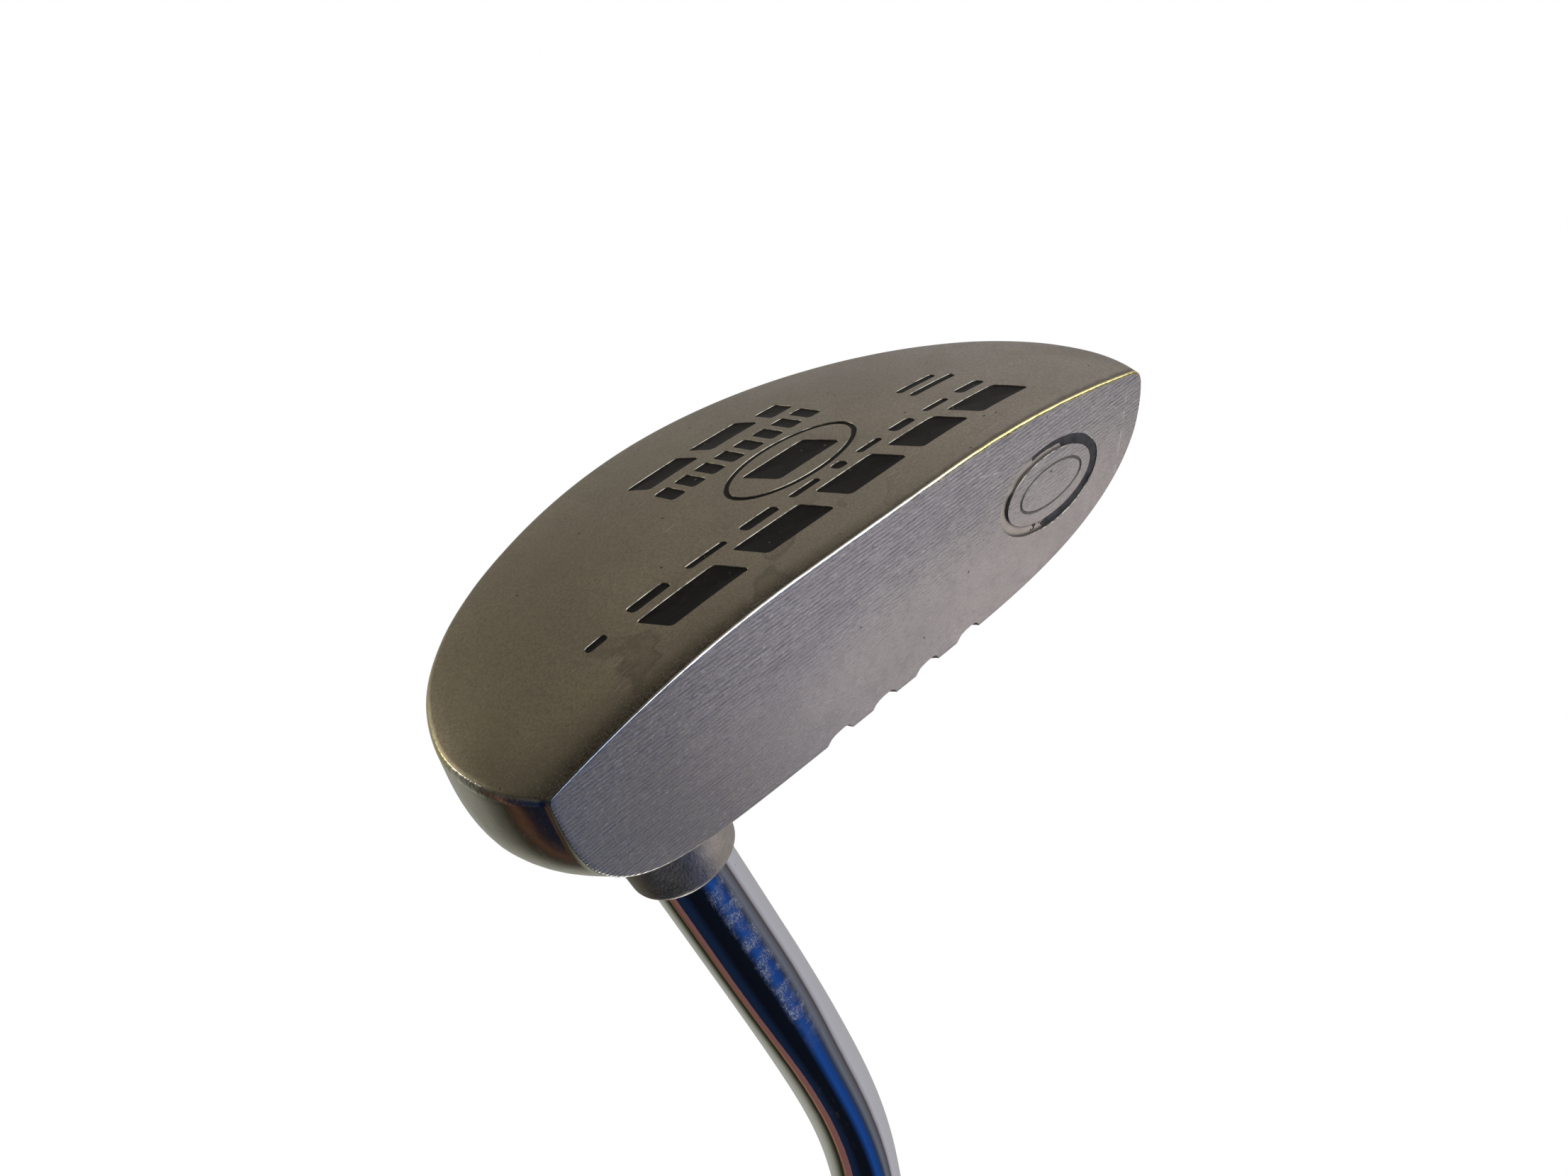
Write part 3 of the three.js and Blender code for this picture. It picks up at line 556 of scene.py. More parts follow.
def steel_face(pos):
    """Fly-cut face: fine lines from heel to toe, strongest at the sole, fading to the crown."""
    x, _, z = pos.xyz()
    wobble = pos.noise(stretch=(0.05, 0.05, 0.3))
    line = ((z + wobble * 0.5) * (2 * math.pi / CUTTER_PITCH)).math("SINE")
    patchy = pos.noise(stretch=(0.30, 0.30, 2.0), detail=4, rough=0.65)
    fade = z.span(start=13.0, end=4.5, low=0.10, high=1.0).math(
        "MAXIMUM", x.span(start=8.0, end=30.0, low=0.0, high=0.75))
    line = line * (fade * patchy.span(start=0.38, end=0.62, low=0.15, high=1.0))
    stroke = pos.noise(stretch=(1.1, 1.1, 5.5), rough=0.6)
    dash = pos.noise(stretch=(1.5, 1.5, 6.5), shift=(11.0, 5.0, 3.0), rough=0.6)
    streak = pos.noise(stretch=(0.22, 0.22, 9.0), detail=3, rough=0.6)
    painted_glint = pos.noise(stretch=(1.3, 1.3, 5.0), rough=0.7)
    fine = pos.noise(scale=5.0, rough=0.6)
    broad = pos.noise(scale=0.09, detail=3, rough=0.55)
    mottle = pos.noise(scale=0.5, detail=3, rough=0.6)
    pits = pos.specks(scale=0.42, outer=0.075, inner=0.03, patches=0.3, start=0.5, end=0.58)

    base = z.span(start=2.0, end=14.0).mix((0.61, 0.595, 0.575), (0.625, 0.592, 0.55))
    # painted shade: the face darker, and warmer, towards its heel end
    base = base.coat(x.span(start=8.0, end=34.0), (0.49, 0.452, 0.345))
    dark = (line.span(start=-0.1, end=0.8, smooth=False)
            * x.span(start=-6.0, end=26.0, low=0.42, high=0.68))
    base = base.coat(dark, (0.25, 0.248, 0.27))
    dark = stroke.span(start=0.50, end=0.62) * z.span(start=16.0, end=6.0, low=0.16, high=0.42)
    base = base.coat(dark, (0.27, 0.265, 0.28))
    bright = dash.span(start=0.56, end=0.66) * z.span(start=16.0, end=6.0, low=0.22, high=0.42)
    base = base.coat(bright, (0.90, 0.88, 0.87))
    # painted glints along the cut lines, fading towards the crown
    base = base.coat(painted_glint.span(start=0.56, end=0.72) * (fade * 0.55), (0.86, 0.85, 0.87))
    base = base.coat(streak.span(start=0.48, end=0.68) * (fade * 0.5), (0.29, 0.285, 0.305))
    base = base.coat(mottle.span(start=0.45, end=0.7), (0.38, 0.36, 0.36), amount=0.16)
    base = broad.span(start=0.3, end=0.7).mix(base.tinted((0.90, 0.90, 0.91)), base)
    base = base.coat(fine.span(start=0.45, end=0.7), (0.33, 0.33, 0.35), amount=0.2)
    base = base.coat(pits, (0.06, 0.06, 0.06), amount=0.8)
    for x0, z0, x1, z1, width, strength in FACE_SCRATCHES:
        length = math.hypot(x1 - x0, z1 - z0)
        dir_x, dir_z = (x1 - x0) / length, (z1 - z0) / length
        from_x, from_z = x - x0, z - z0
        along = from_x * dir_x + from_z * dir_z
        across = abs(from_x * dir_z - from_z * dir_x)
        scratch = across.span(start=width * 1.6, end=width * 0.6) * (
            along.span(start=-0.2, end=1.0) * along.span(start=length + 0.2, end=length - 1.0))
        scratch = scratch * pos.noise(scale=0.8).span(start=0.35, end=0.55)
        base = base.coat(scratch, (0.86, 0.85, 0.84), amount=strength)

    height = line * 0.5 + stroke * 0.9 + fine * 0.5 - pits
    return base.surface(rough=mottle * 0.08 + 0.36, metallic=1.0,
                        normal=height.bump(strength=0.8, depth=0.04))


def steel_crown(pos):
    """Polished casting: brighter and smoother than the sole, with haze and hairlines."""
    mid = pos.noise(scale=0.18, detail=4, rough=0.6, twist=0.4)
    fine = pos.noise(scale=4.0, rough=0.6)
    hair = pos.noise(stretch=(0.4, 4.5, 0.8), rough=0.6, twist=0.3)
    pits = pos.specks(scale=0.35, outer=0.06, inner=0.025, patches=0.3, start=0.5, end=0.58)
    base = mid.span(start=0.3, end=0.7).mix((0.50, 0.48, 0.45), (0.60, 0.58, 0.55))
    base = base.coat(fine.span(start=0.45, end=0.7), (0.36, 0.35, 0.33), amount=0.12)
    base = base.coat(pits, (0.06, 0.055, 0.05), amount=0.75)
    rough = mid * 0.10 + 0.15 + hair.span(start=0.55, end=0.7) * 0.08
    normal = (fine * 0.25 + hair * 0.25).bump(strength=0.3, depth=0.02)
    normal = pos.noise(scale=0.28).bump(strength=0.3, depth=0.1, under=normal)
    return base.surface(rough=rough, normal=normal, metallic=1.0)


def steel_edge(pos):
    """Edges rubbed nearly to a mirror, with nicks, and painted gold and dark blue reflections."""
    x, y, _ = pos.xyz()
    mid = pos.noise(scale=0.5, detail=3, rough=0.6)
    # painted reflection: white, turning gold towards the toe
    base = x.span(start=0.0, end=-16.0).mix((0.93, 0.92, 0.90), (0.86, 0.76, 0.36))
    base = mid.span(start=0.52, end=0.72).mix(base, base.tinted((0.55, 0.55, 0.55)))
    # painted dark blue reflection on the front of the edge by the heel
    front = y.span(start=1.2, end=0.9) * x.span(start=20.0, end=34.0)
    base = base.coat(front, (0.30, 0.34, 0.44))
    # painted gold reflection, dimmer than the white, on the heel's side of the rim behind the
    # corner
    painted_gold_reflection = x.span(start=14.0, end=24.0) * y.span(start=9.0, end=14.0)
    base = base.coat(painted_gold_reflection, (0.62, 0.56, 0.26), amount=0.88)
    nicks = pos.noise(stretch=(0.8, 1.0, 1.0), scale=1.2, detail=3, rough=0.6)
    return base.surface(rough=mid * 0.14 + 0.14, metallic=1.0,
                        normal=nicks.bump(strength=0.5, depth=0.12))


def steel_boss(pos):
    """Satin cast steel of the hosel boss."""
    mid = pos.noise(scale=0.3, detail=4, rough=0.6, twist=0.5)
    fine = pos.noise(scale=4.0, detail=3, rough=0.65)
    base = mid.span(start=0.3, end=0.7).mix((0.40, 0.375, 0.33), (0.55, 0.51, 0.46))
    base = base.coat(fine.span(start=0.45, end=0.7), (0.24, 0.22, 0.20), amount=0.3)
    height = fine * 0.9 + pos.noise(scale=1.2) * 1.2
    return base.surface(rough=mid * 0.14 + 0.40, metallic=1.0,
                        normal=height.bump(strength=0.7, depth=0.06))


def steel_cut(pos):
    """Walls of the engraving, dull and grimy."""
    grime = pos.noise(scale=2.5, detail=3, rough=0.6)
    base = grime.mix((0.12, 0.115, 0.105), (0.30, 0.29, 0.27))
    return base.surface(rough=0.45, metallic=0.8, normal=grime.bump(strength=0.5, depth=0.04))


def steel_bright(pos):
    """The bevelled lip of the engraving, rubbed bright in places."""
    rub = pos.noise(scale=1.1, detail=3, rough=0.6)
    base = rub.span(start=0.4, end=0.65).mix((0.40, 0.38, 0.34), (0.10, 0.095, 0.085))
    return base.surface(rough=0.35, metallic=1.0, normal=rub.bump(strength=0.5, depth=0.04))


def steel_groove(pos):
    """Alignment grooves: tool-marked metal, with painted shade on the steep wall that faces the
    heel.
    """
    marks = pos.noise(stretch=(2.0, 0.5, 2.0), detail=4, rough=0.6)
    normal_x = pos.new("ShaderNodeNewGeometry", out="Normal").xyz()[0]
    base = marks.mix((0.30, 0.29, 0.27), (0.48, 0.46, 0.43))
    # painted shade: the steep toe-side wall, which faces the heel, made nearly black
    tone_mask = normal_x.span(start=0.12, end=0.45) * marks.span(start=0.15, end=0.4)
    base = base.coat(tone_mask, (0.035, 0.032, 0.028))
    return base.surface(rough=marks * 0.2 + 0.3, metallic=1.0,
                        normal=marks.bump(strength=0.5, depth=0.04))


# ---------------------------------------------------------------- paint in the engraving
def enamel_dust(pos):
    """Dust on the enamel, and the normal it gives."""
    dust = pos.noise(scale=1.3, detail=4, rough=0.65)
    fine = pos.noise(scale=6.0, rough=0.6)
    return dust, (dust + fine * 0.3).bump(strength=0.4, depth=0.06)


def flaked(pos, enamel, flake, bare_colour):
    """Enamel with the bare floor of the cut where it has flaked off."""
    bare = bare_colour.surface(rough=0.34, metallic=1.0,
                               normal=pos.noise().bump(strength=0.35, depth=0.06))
    return flake.mix_shader(enamel, bare)


def paint_fill(pos):
    """Black enamel with a few small flakes missing."""
    dust, normal = enamel_dust(pos)
    colour = dust.span(start=0.45, end=0.75).mix((0.0035, 0.0035, 0.0035),
                                                 (0.014, 0.0135, 0.012))
    enamel = colour.surface(rough=dust * 0.3 + 0.3, specular=0.22, normal=normal)
    flake = pos.noise(scale=0.9, detail=3, rough=0.6, twist=0.5).span(start=0.72, end=0.74)
    bare = pos.noise(scale=1.6, detail=3).span(start=0.35, end=0.7).mix(
        (0.66, 0.62, 0.58), (0.34, 0.32, 0.30))
    return flaked(pos, enamel, flake, bare)


def paint_fill_worn(pos):
    """Enamel of the face's ring: kept at the toe and along the sole side, gone at the heel."""
    x, _, z = pos.xyz()
    from_x, from_z = x - FACE_RING.x, z - FACE_RING.yz
    mid_x = FACE_RING.half_x - FACE_RING.band / 2
    mid_z = FACE_RING.half_yz - FACE_RING.band / 2
    dust, normal = enamel_dust(pos)
    colour = dust.span(start=0.3, end=0.65).mix((0.014, 0.016, 0.022), (0.045, 0.048, 0.058))
    enamel = colour.surface(rough=0.42, specular=0.4, normal=normal)
    # 1 along the middle of the band
    reach = ((from_x / mid_x) ** 2.0 + (from_z / mid_z) ** 2.0).math("SQRT")
    # on the sole side only the outer half of the band has kept its paint
    inner = reach.span(start=1.015, end=0.975) * (
        from_x.span(start=-5.0, end=-3.0) * from_z.span(start=0.5, end=-1.5))
    chips = pos.noise(scale=1.1, detail=3, rough=0.6)
    flake = (chips + from_x * 0.10 + inner * 0.40).span(start=0.66, end=0.69)
    floor_colour = pos.noise(scale=0.9).mix((0.60, 0.57, 0.51), (0.42, 0.395, 0.345))
    # painted shade: the bare floor darkens towards both edges of the band, beside the walls
    bare = floor_colour.coat(abs(reach - 1.0).span(start=0.03, end=0.11), (0.22, 0.20, 0.19))
    return flaked(pos, enamel, flake, bare)


# ---------------------------------------------------------------- shaft and grip materials
def shaft_chrome(pos):
    """Mirror chrome, scuffed down the front above the boss, with wiping marks and specks."""
    z = pos.xyz()[2]
    normal_x, normal_y, _ = pos.new("ShaderNodeNewGeometry", out="Normal").xyz()
    around = normal_y.math("ARCTAN2", normal_x) * (180 / math.pi)
    front = around.span(start=-68.0, end=-77.0) * around.span(start=-107.0, end=-96.0)
    zone = front * (z.span(start=27.0, end=30.0) * z.span(start=62.0, end=44.0))
    cloud = pos.noise(scale=0.55, detail=3, rough=0.6, twist=0.4)
    # two sets of thin lines, each along the middle level of a noise
    steep = pos.noise(stretch=(1.6, 1.6, 0.28), scale=3.2, rough=0.55, twist=0.5)
    crossed = pos.noise(stretch=(0.8, 0.8, 1.3), shift=(7.0, 3.0, 1.0), scale=3.0, rough=0.55,
                        twist=1.2)
    steep, crossed = (abs(lines - 0.5).span(start=0.035, end=0.008)
                      for lines in (steep, crossed))
    lines = steep.math("MAXIMUM", crossed * 0.8)
    scuff = lines * zone * cloud.span(start=0.34, end=0.66, low=0.0, high=0.80)
    haze = zone * cloud.span(start=0.30, end=0.65, low=0.03, high=0.20)
    wiping = pos.noise(stretch=(2.5, 2.5, 0.25), detail=4, rough=0.7)
    specks = pos.specks(scale=0.8, outer=0.10, inner=0.04, patches=0.25, start=0.5, end=0.6)
    base = scuff.math("MAXIMUM", haze).mix((0.80, 0.81, 0.83), (0.88, 0.90, 0.95))
    base = base.coat(specks, (0.10, 0.10, 0.10), amount=0.7)
    rough = scuff.math("MAXIMUM", haze) * 0.50 + wiping.span(start=0.5, end=0.75) * 0.05
    normal = (scuff * 0.30 + wiping * 0.04).bump(strength=0.6, depth=0.05)
    normal = pos.noise(scale=0.16).bump(strength=0.10, depth=0.2, under=normal)
    return base.surface(rough=rough + 0.035, normal=normal, metallic=1.0 - scuff * 0.40)


def bonding(pos):
    """Cured bonding at the mouth of the bore: amber, dirty and uneven."""
    tone_mask = pos.noise(scale=1.4, detail=4, rough=0.6)
    base = tone_mask.span(start=0.35, end=0.65).mix((0.016, 0.013, 0.010), (0.09, 0.065, 0.035))
    return base.surface(rough=0.5, normal=tone_mask.bump(strength=0.6, depth=0.1))


def plug_plastic(pos):
    """Cork-brown granules of the plug."""
    granule = pos.cells(scale=1.3, out="Color").xyz()[0]
    fine = pos.noise(scale=2.5, detail=3)
    base = granule.mix((0.36, 0.24, 0.13), (0.52, 0.37, 0.22))
    base = base.coat(fine.span(start=0.5, end=0.7), (0.2, 0.12, 0.06))
    return base.surface(rough=0.85, normal=fine.bump(strength=0.6, depth=0.1))


def tape_fabric(pos):
    """Pale tape with a fine weave along z."""
    weave = (pos.xyz()[2] * 9.0).math("SINE")
    base = weave.span(start=-1, end=1, smooth=False).mix((0.66, 0.60, 0.44), (0.78, 0.73, 0.58))
    base = base.coat(pos.noise(scale=3.0, detail=3), (0.5, 0.45, 0.33), amount=0.4)
    return base.surface(rough=0.9, normal=weave.bump(strength=0.3, depth=0.05))


def grip_rubber(pos):
    """Black moulded rubber with a fine grain and pale dust."""
    dust = pos.noise(scale=2.6, detail=4, rough=0.65)
    broad = pos.noise(scale=0.09, detail=3)
    base = broad.span(start=0.35, end=0.7).mix((0.013, 0.013, 0.014), (0.030, 0.029, 0.029))
    base = base.coat(dust.span(start=0.5, end=0.75), (0.055, 0.053, 0.050), amount=0.5)
    height = pos.cells(scale=1.7) + dust * 0.6
    return base.surface(rough=broad * 0.25 + 0.52,
                        normal=height.bump(strength=0.35, depth=0.12))


def cap_plastic(pos):
    mottle = pos.noise(scale=1.8, detail=4, rough=0.6)
    base = mottle.span(start=0.35, end=0.7).mix((0.018, 0.018, 0.019), (0.04, 0.04, 0.042))
    grain = pos.noise(scale=3.0, detail=3)
    return base.surface(rough=mottle * 0.25 + 0.3, normal=grain.bump(strength=0.3, depth=0.06))


HEAD_MATS = [material(look) for look in (
    steel_sole, steel_face, steel_crown, steel_edge, steel_boss, steel_cut, steel_bright,
    steel_groove)]
SOLE, FACE, CROWN, EDGE, BOSS, CUT, BRIGHT, GROOVE = range(8)   # places in HEAD_MATS
PAINT, PAINT_WORN, CHROME, BONDING, PLUG, TAPE, RUBBER, CAP = [material(look) for look in (
    paint_fill, paint_fill_worn, shaft_chrome, bonding, plug_plastic, tape_fabric, grip_rubber,
    cap_plastic)]


# ---------------------------------------------------------------- head skin
def lead_at(z):
    """Width of the worn edge round the face."""
    return LEAD + (LEAD_TOP - LEAD) * ease((np.asarray(z, float) - LEAD_Z) / LEAD_RUN)


def resample(points, count, start, stop):
    """Evenly spaced points along a line, from start to the given distance before its end."""
    along = np.concatenate([[0], np.cumsum(np.hypot(*np.diff(points, axis=0).T))])
    at = np.linspace(start, along[-1] - stop, count)
    return np.stack([np.interp(at, along, points[:, c]) for c in (0, 1)], 1)


def head_section(deg):
    """(radius, height) rows from the sole's centre over the rim to the crown's centre."""
    edge = float(sole_radius(deg))
    rho = np.linspace(0, 1, 400)
    sole = np.stack([edge * rho, sole_rise(rho)], 1)
    n, m = section(deg)
    t = (math.pi / 2) * np.linspace(0, 1, 1600) ** 1.7
    wall = np.stack([edge * np.cos(t) ** (2 / n) * (1 + bulge(deg) * np.sin(2 * t)),
                     SOLE_EDGE_Z + (CROWN_Z - SOLE_EDGE_Z) * np.sin(t) ** (2 / m)], 1)
    wall[-1, 0] = 0
    reach = float(np.interp(deg, *zip(*RIM_REACH)))
    sole = resample(sole, SOLE_ROWS, 0, reach)
    wall = resample(wall, WALL_ROWS, reach, 0)
    t = np.linspace(0, 1, CORNER_ROWS + 2)[1:-1, None]
    rim = bend(sole[-1], np.array([edge, SOLE_EDGE_Z]), wall[0], t)
    return np.concatenate([sole, rim, wall])


def body_skin():
    """Sole, rim, wall and crown, open at the face; also the indices of the loop round the face."""
    degs = np.arange(0, 180.0001, STEP_DEG)
    sections = np.array([head_section(deg) for deg in degs])
    columns, rows = sections.shape[:2]
    x = sections[..., 0] * np.cos(degs * DEG)[:, None]
    flat_y = sections[..., 0] * np.sin(degs * DEG)[:, None]
    z = sections[..., 1]
    flat_y[[0, -1], :] = 0
    y = flat_y + (face_y(z) + lead_at(z)) * (1 - ease(flat_y / FACE_BLEND_Y))
    climb = dome(x, flat_y)
    climb[:, :SOLE_ROWS + CORNER_ROWS] = 0
    z = z + climb

    verts, faces, index = [(0.0, float(y[0, 0]), 0.0)], [], []
    grid = np.zeros((columns, rows), int)
    for i in range(1, rows - 1):
        for j in range(columns):
            grid[j, i] = len(verts)
            verts.append((x[j, i], y[j, i], z[j, i]))
    grid[:, -1] = len(verts)
    verts.append((0.0, float(y[0, -1]), CROWN_Z))
    for i in range(rows - 1):
        kind = SOLE if i <= SOLE_ROWS else EDGE if i < SOLE_ROWS + CORNER_ROWS else CROWN
        for j in range(columns - 1):
            quad = [grid[j, i], grid[j + 1, i], grid[j + 1, i + 1], grid[j, i + 1]]
            faces.append(list(dict.fromkeys(quad)))     # triangles at both centres
            index.append(kind)
    # sole centre, heel, crown centre, toe and back
    loop = list(grid[0]) + list(grid[-1, rows - 2:0:-1])
    return verts, faces, index, loop, rows


def inner_edge(corner):
    """The face's own outline: the corner line drawn in by the width of the worn edge."""
    run = (np.roll(corner, -1, 0) - np.roll(corner, 1, 0))[:, [0, 2]]
    run /= np.linalg.norm(run, axis=1)[:, None]
    out = np.stack([run[:, 1], -run[:, 0]], 1)          # outward in x, z
    for _ in range(3):
        out = out * 0.5 + (np.roll(out, 1, 0) + np.roll(out, -1, 0)) * 0.25
        out /= np.linalg.norm(out, axis=1)[:, None]
    # the edge wears unevenly along the sole
    x = corner[:, 0]
    wear = (1 + 0.30 * np.sin(x * 0.9) * np.sin(x * 0.31 + 1)
            + 0.25 * np.sin(x * 2.3 + 0.5) * np.sin(x * 0.53))
    wear = wear * np.interp(x, *zip(*WEAR_ALONG_X))
    lead = lead_at(corner[:, 2])
    wear = np.where(lead > LEAD + 0.02, 1.0, wear)
    inner = corner.copy()
    inner[:, 0] -= out[:, 0] * lead * wear
    inner[:, 2] -= out[:, 1] * lead * wear
    inner[:, 1] = face_y(inner[:, 2])
    return inner


def head_skin():
    verts, faces, index, loop, rows = body_skin()
    count = len(loop)
    outer = np.array([verts[v] for v in loop])
    corner = np.stack([outer[:, 0], face_y(outer[:, 2]), outer[:, 2]], 1)
    inner = inner_edge(corner)

    def add_ring(last, points, kinds):
        """Adds a ring of points, joined to the last one."""
        new = [len(verts) + k for k in range(count)]
        verts.extend(map(tuple, points))
        for k in range(count):
            q = (k + 1) % count
            faces.append([last[k], last[q], new[q], new[k]])
        index.extend(kinds)
        return new

    strip_kinds = [EDGE if point[2] < SOLE_EDGE_Z + 0.3 else FACE for point in corner]
    last = loop
    for i in range(1, STRIP_ROWS + 1):
        last = add_ring(last, bend(outer, corner, inner, i / STRIP_ROWS), strip_kinds)
    # the face: rings that close in on a spine
    spine_x = np.clip(inner[:, 0], -SPINE_HALF, SPINE_HALF)
    for i in range(1, FACE_ROWS + 1):
        share = i / FACE_ROWS * 0.985
        x = inner[:, 0] * (1 - share) + spine_x * share
        z = inner[:, 2] * (1 - share) + SPINE_Z * share
        last = add_ring(last, np.stack([x, face_y(z), z], 1), [FACE] * count)
    # close the slit: pair the sole's and the crown's points from the middle to heel and toe
    for side in (last[:rows], [last[0]] + last[:rows - 2:-1]):
        i, k = 0, len(side) - 1
        while i + 1 < k:
            if abs(verts[side[i + 1]][0]) <= abs(verts[side[k - 1]][0]):
                faces.append([side[i], side[i + 1], side[k]])
                i += 1
            else:
                faces.append([side[i], side[k - 1], side[k]])
                k -= 1
            index.append(FACE)
    return verts, faces, index


*skin, kinds = head_skin()
head = solid("putter_head", skin, HEAD_MATS, index=kinds)
store_normals(head)

# ---------------------------------------------------------------- boss, its fillet on the crown
ACROSS = np.cross([0.0, 1.0, 0.0], TIP_DIR)
ACROSS /= np.linalg.norm(ACROSS)
BEHIND = np.cross(TIP_DIR, ACROSS)


def on_boss(r, s, a):
    """Point at a radius, a height along the axis from the rim, and an angle."""
    return RIM + TIP_DIR * s + (ACROSS * math.cos(a) + BEHIND * math.sin(a)) * r


def boss_radius(s):
    return BOSS_R + 0.02 + 0.055 * max(-s - 2.0, 0)


def crown_meet(r, a):
    """Height along the axis where a line of the boss's side meets the crown."""
    low, high = -20.0, 0.0
    for _ in range(40):
        mid = (low + high) / 2
        x, y, z = on_boss(r, mid, a)
        if z - crown_z(x, y) > 0:
            high = mid
        else:
            low = mid
    return (low + high) / 2


def boss_column(a):
    """Points down the boss at one angle, from the bore's side over the rim into the crown."""
    base = crown_meet(BOSS_R + BOSS_SPREAD, a)
    fillet_top = base + BOSS_FILLET
    foot_r = BOSS_R + BOSS_SPREAD + BOSS_FILLET
    foot_s = crown_meet(foot_r, a)
    column = []
    for k in range(7):                                   # rounded rim
        b = (math.pi / 2) * (1 - k / 6)
        column.append(on_boss(BOSS_LIP + (BOSS_R - BOSS_LIP) * math.cos(b),
                              -BOSS_ROUND + BOSS_ROUND * math.sin(b), a))
    for k in range(1, 8):                                # side
        s = -BOSS_ROUND + (fillet_top + BOSS_ROUND) * k / 8
        column.append(on_boss(boss_radius(s), s, a))
    top = on_boss(boss_radius(fillet_top), fillet_top, a)
    corner = on_boss(boss_radius(base), base, a)
    foot = on_boss(foot_r, foot_s, a) - np.array([0, 0, 0.03])
    column += [bend(top, corner, foot, k / 9) for k in range(10)]
    # inside the head
    column.append(on_boss(foot_r - 0.2, foot_s, a) - np.array([0, 0, 1.0]))
    column.append(on_boss(BOSS_R, -15.5, a))
    return column


columns = [boss_column(2 * math.pi * j / BOSS_SIDES) for j in range(BOSS_SIDES)]
skin = loft(list(zip(*columns)))
boss = solid("boss_tool", skin, HEAD_MATS, angle=40, index=[BOSS] * len(skin[1]))
store_normals(boss)
boolean(head, boss, "UNION")


# ---------------------------------------------------------------- cutters
def cutter(name, skin, index, angle=30):
    ob = solid(name, skin, HEAD_MATS, angle, index)
    store_normals(ob, flip=True)
    return ob


def plain_cutter(name, skin, kind, angle=30):
    return cutter(name, skin, [kind] * len(skin[1]), angle)


def turned(profile, wave=lambda s, a: s):
    """Skin turned about the boss's axis from (radius, height) points."""
    angles = [2 * math.pi * j / TURN_SIDES for j in range(TURN_SIDES)]
    return loft([[on_boss(r, wave(s, a), a) for a in angles] for r, s in profile])


def bore_cutter():
    profile = [(BORE_R, -BORE_DEPTH), (BORE_R, -0.45), (BORE_R + 0.05, -0.25),
               (BORE_R + 0.16, -0.05), (BORE_R + 0.22, 0.3), (BORE_R + 0.22, 6)]
    return plain_cutter("bore_tool", turned(profile), BOSS)


def groove_cutter(centre_x):
    """Follows the crown from in front of the face and rises out of it at the back."""
    profile = spline(GROOVE_PROFILE, 5)
    rings = []
    for i in range(61):
        y = GROOVE_FRONT + (GROOVE_BACK - GROOVE_FRONT) * i / 60
        top = crown_z(centre_x, y)
        run = max(0.0, (y - (GROOVE_BACK - GROOVE_RUN_OUT)) / GROOVE_RUN_OUT)
        lift = GROOVE_DEPTH * 1.05 * run * run
        rings.append([np.array([centre_x + u, y, top + w + lift]) for u, w in profile])
    return plain_cutter("groove_tool", loft(rings), GROOVE, 50)


def bar_outline(x, y, length, width, slant, inset=0.0):
    """Rounded bar, sheared along x, with its straight sides divided."""
    corner_parts, side_parts, corner_r = 5, 6, 0.45
    half_x, half_y = length / 2 - inset, width / 2 - inset
    r = max(min(corner_r, half_x * 0.9, half_y * 0.9) - inset * 0.5, 0.1)
    outline = []
    for sign_x, sign_y, start in ((1, 1, 0), (-1, 1, 90), (-1, -1, 180), (1, -1, 270)):
        for i in range(corner_parts + 1):
            a = (start + 90 * i / corner_parts) * DEG
            outline.append(np.array([sign_x * (half_x - r) + r * math.cos(a),
                                     sign_y * (half_y - r) + r * math.sin(a)]))
    divided = []
    for i, here in enumerate(outline):
        after = outline[(i + 1) % len(outline)]
        divided.append(here)
        if (i + 1) % (corner_parts + 1) == 0:
            divided += [here + (after - here) * k / side_parts for k in range(1, side_parts)]
    return np.array([(x + px + (py / width) * slant, y + py) for px, py in divided])


def oval_outline(x, yz, half_x, half_yz, inset=0.0, count=160):
    t = np.arange(count) * 2 * math.pi / count
    return np.stack([x + (half_x - inset) * np.cos(t), yz + (half_yz - inset) * np.sin(t)], 1)


def on_sole(outline, depth):
    x, y = outline.T
    return np.stack([x, y, sole_z(x, y) + depth], 1)


def on_face(outline, depth):
    x, z = outline.T
    return np.stack([x, face_y(z) + depth, z], 1)


# (depth, inset) down an engraved wall: above the surface, over the bevelled lip, to the floor
CUT_WALL = [(-0.6, -FLARE - 0.02), (-0.02, -FLARE), (0.05, 0.0), (MARK_DEPTH, 0.03)]
RING_WALL = [row if row[0] != 0.05 else (0.06, 0.0) for row in CUT_WALL]


def mark_cutter(mark):
    rings = [on_sole(bar_outline(*mark, inset), depth) for depth, inset in CUT_WALL]
    skin, count = loft(rings), len(rings[0])
    index = [BRIGHT if k // count < 2 else CUT for k in range(len(skin[1]))]
    return cutter("mark_tool", skin, index)


def ring_cutter(ring, place):
    x, yz, half_x, half_yz, band = ring
    rings = [place(oval_outline(x, yz, half_x, half_yz, inset), depth)
             for depth, inset in RING_WALL]
    rings += [place(oval_outline(x, yz, half_x - band, half_yz - band, -inset), depth)
              for depth, inset in reversed(RING_WALL)]
    skin, count = loft(rings, closed=True), len(rings[0])
    index = [BRIGHT if k // count in (0, 1, 5, 6) else CUT for k in range(len(skin[1]))]
    return cutter("ring_tool", skin, index)


def line_cutter():
    """A shallow round-bottomed line along an oval; profile of (outward, depth)."""
    x, z, half_x, half_z = FACE_LINE
    profile = [(0.20, -0.3), (0.20, -0.01), (0.12, 0.06), (0.0, 0.09), (-0.12, 0.06),
               (-0.20, -0.01), (-0.20, -0.3)]
    rings = [on_face(oval_outline(x, z, half_x + out, half_z + out, count=120), depth)
             for out, depth in profile]
    return plain_cutter("line_tool", loft(rings, closed=True), CUT, 70)


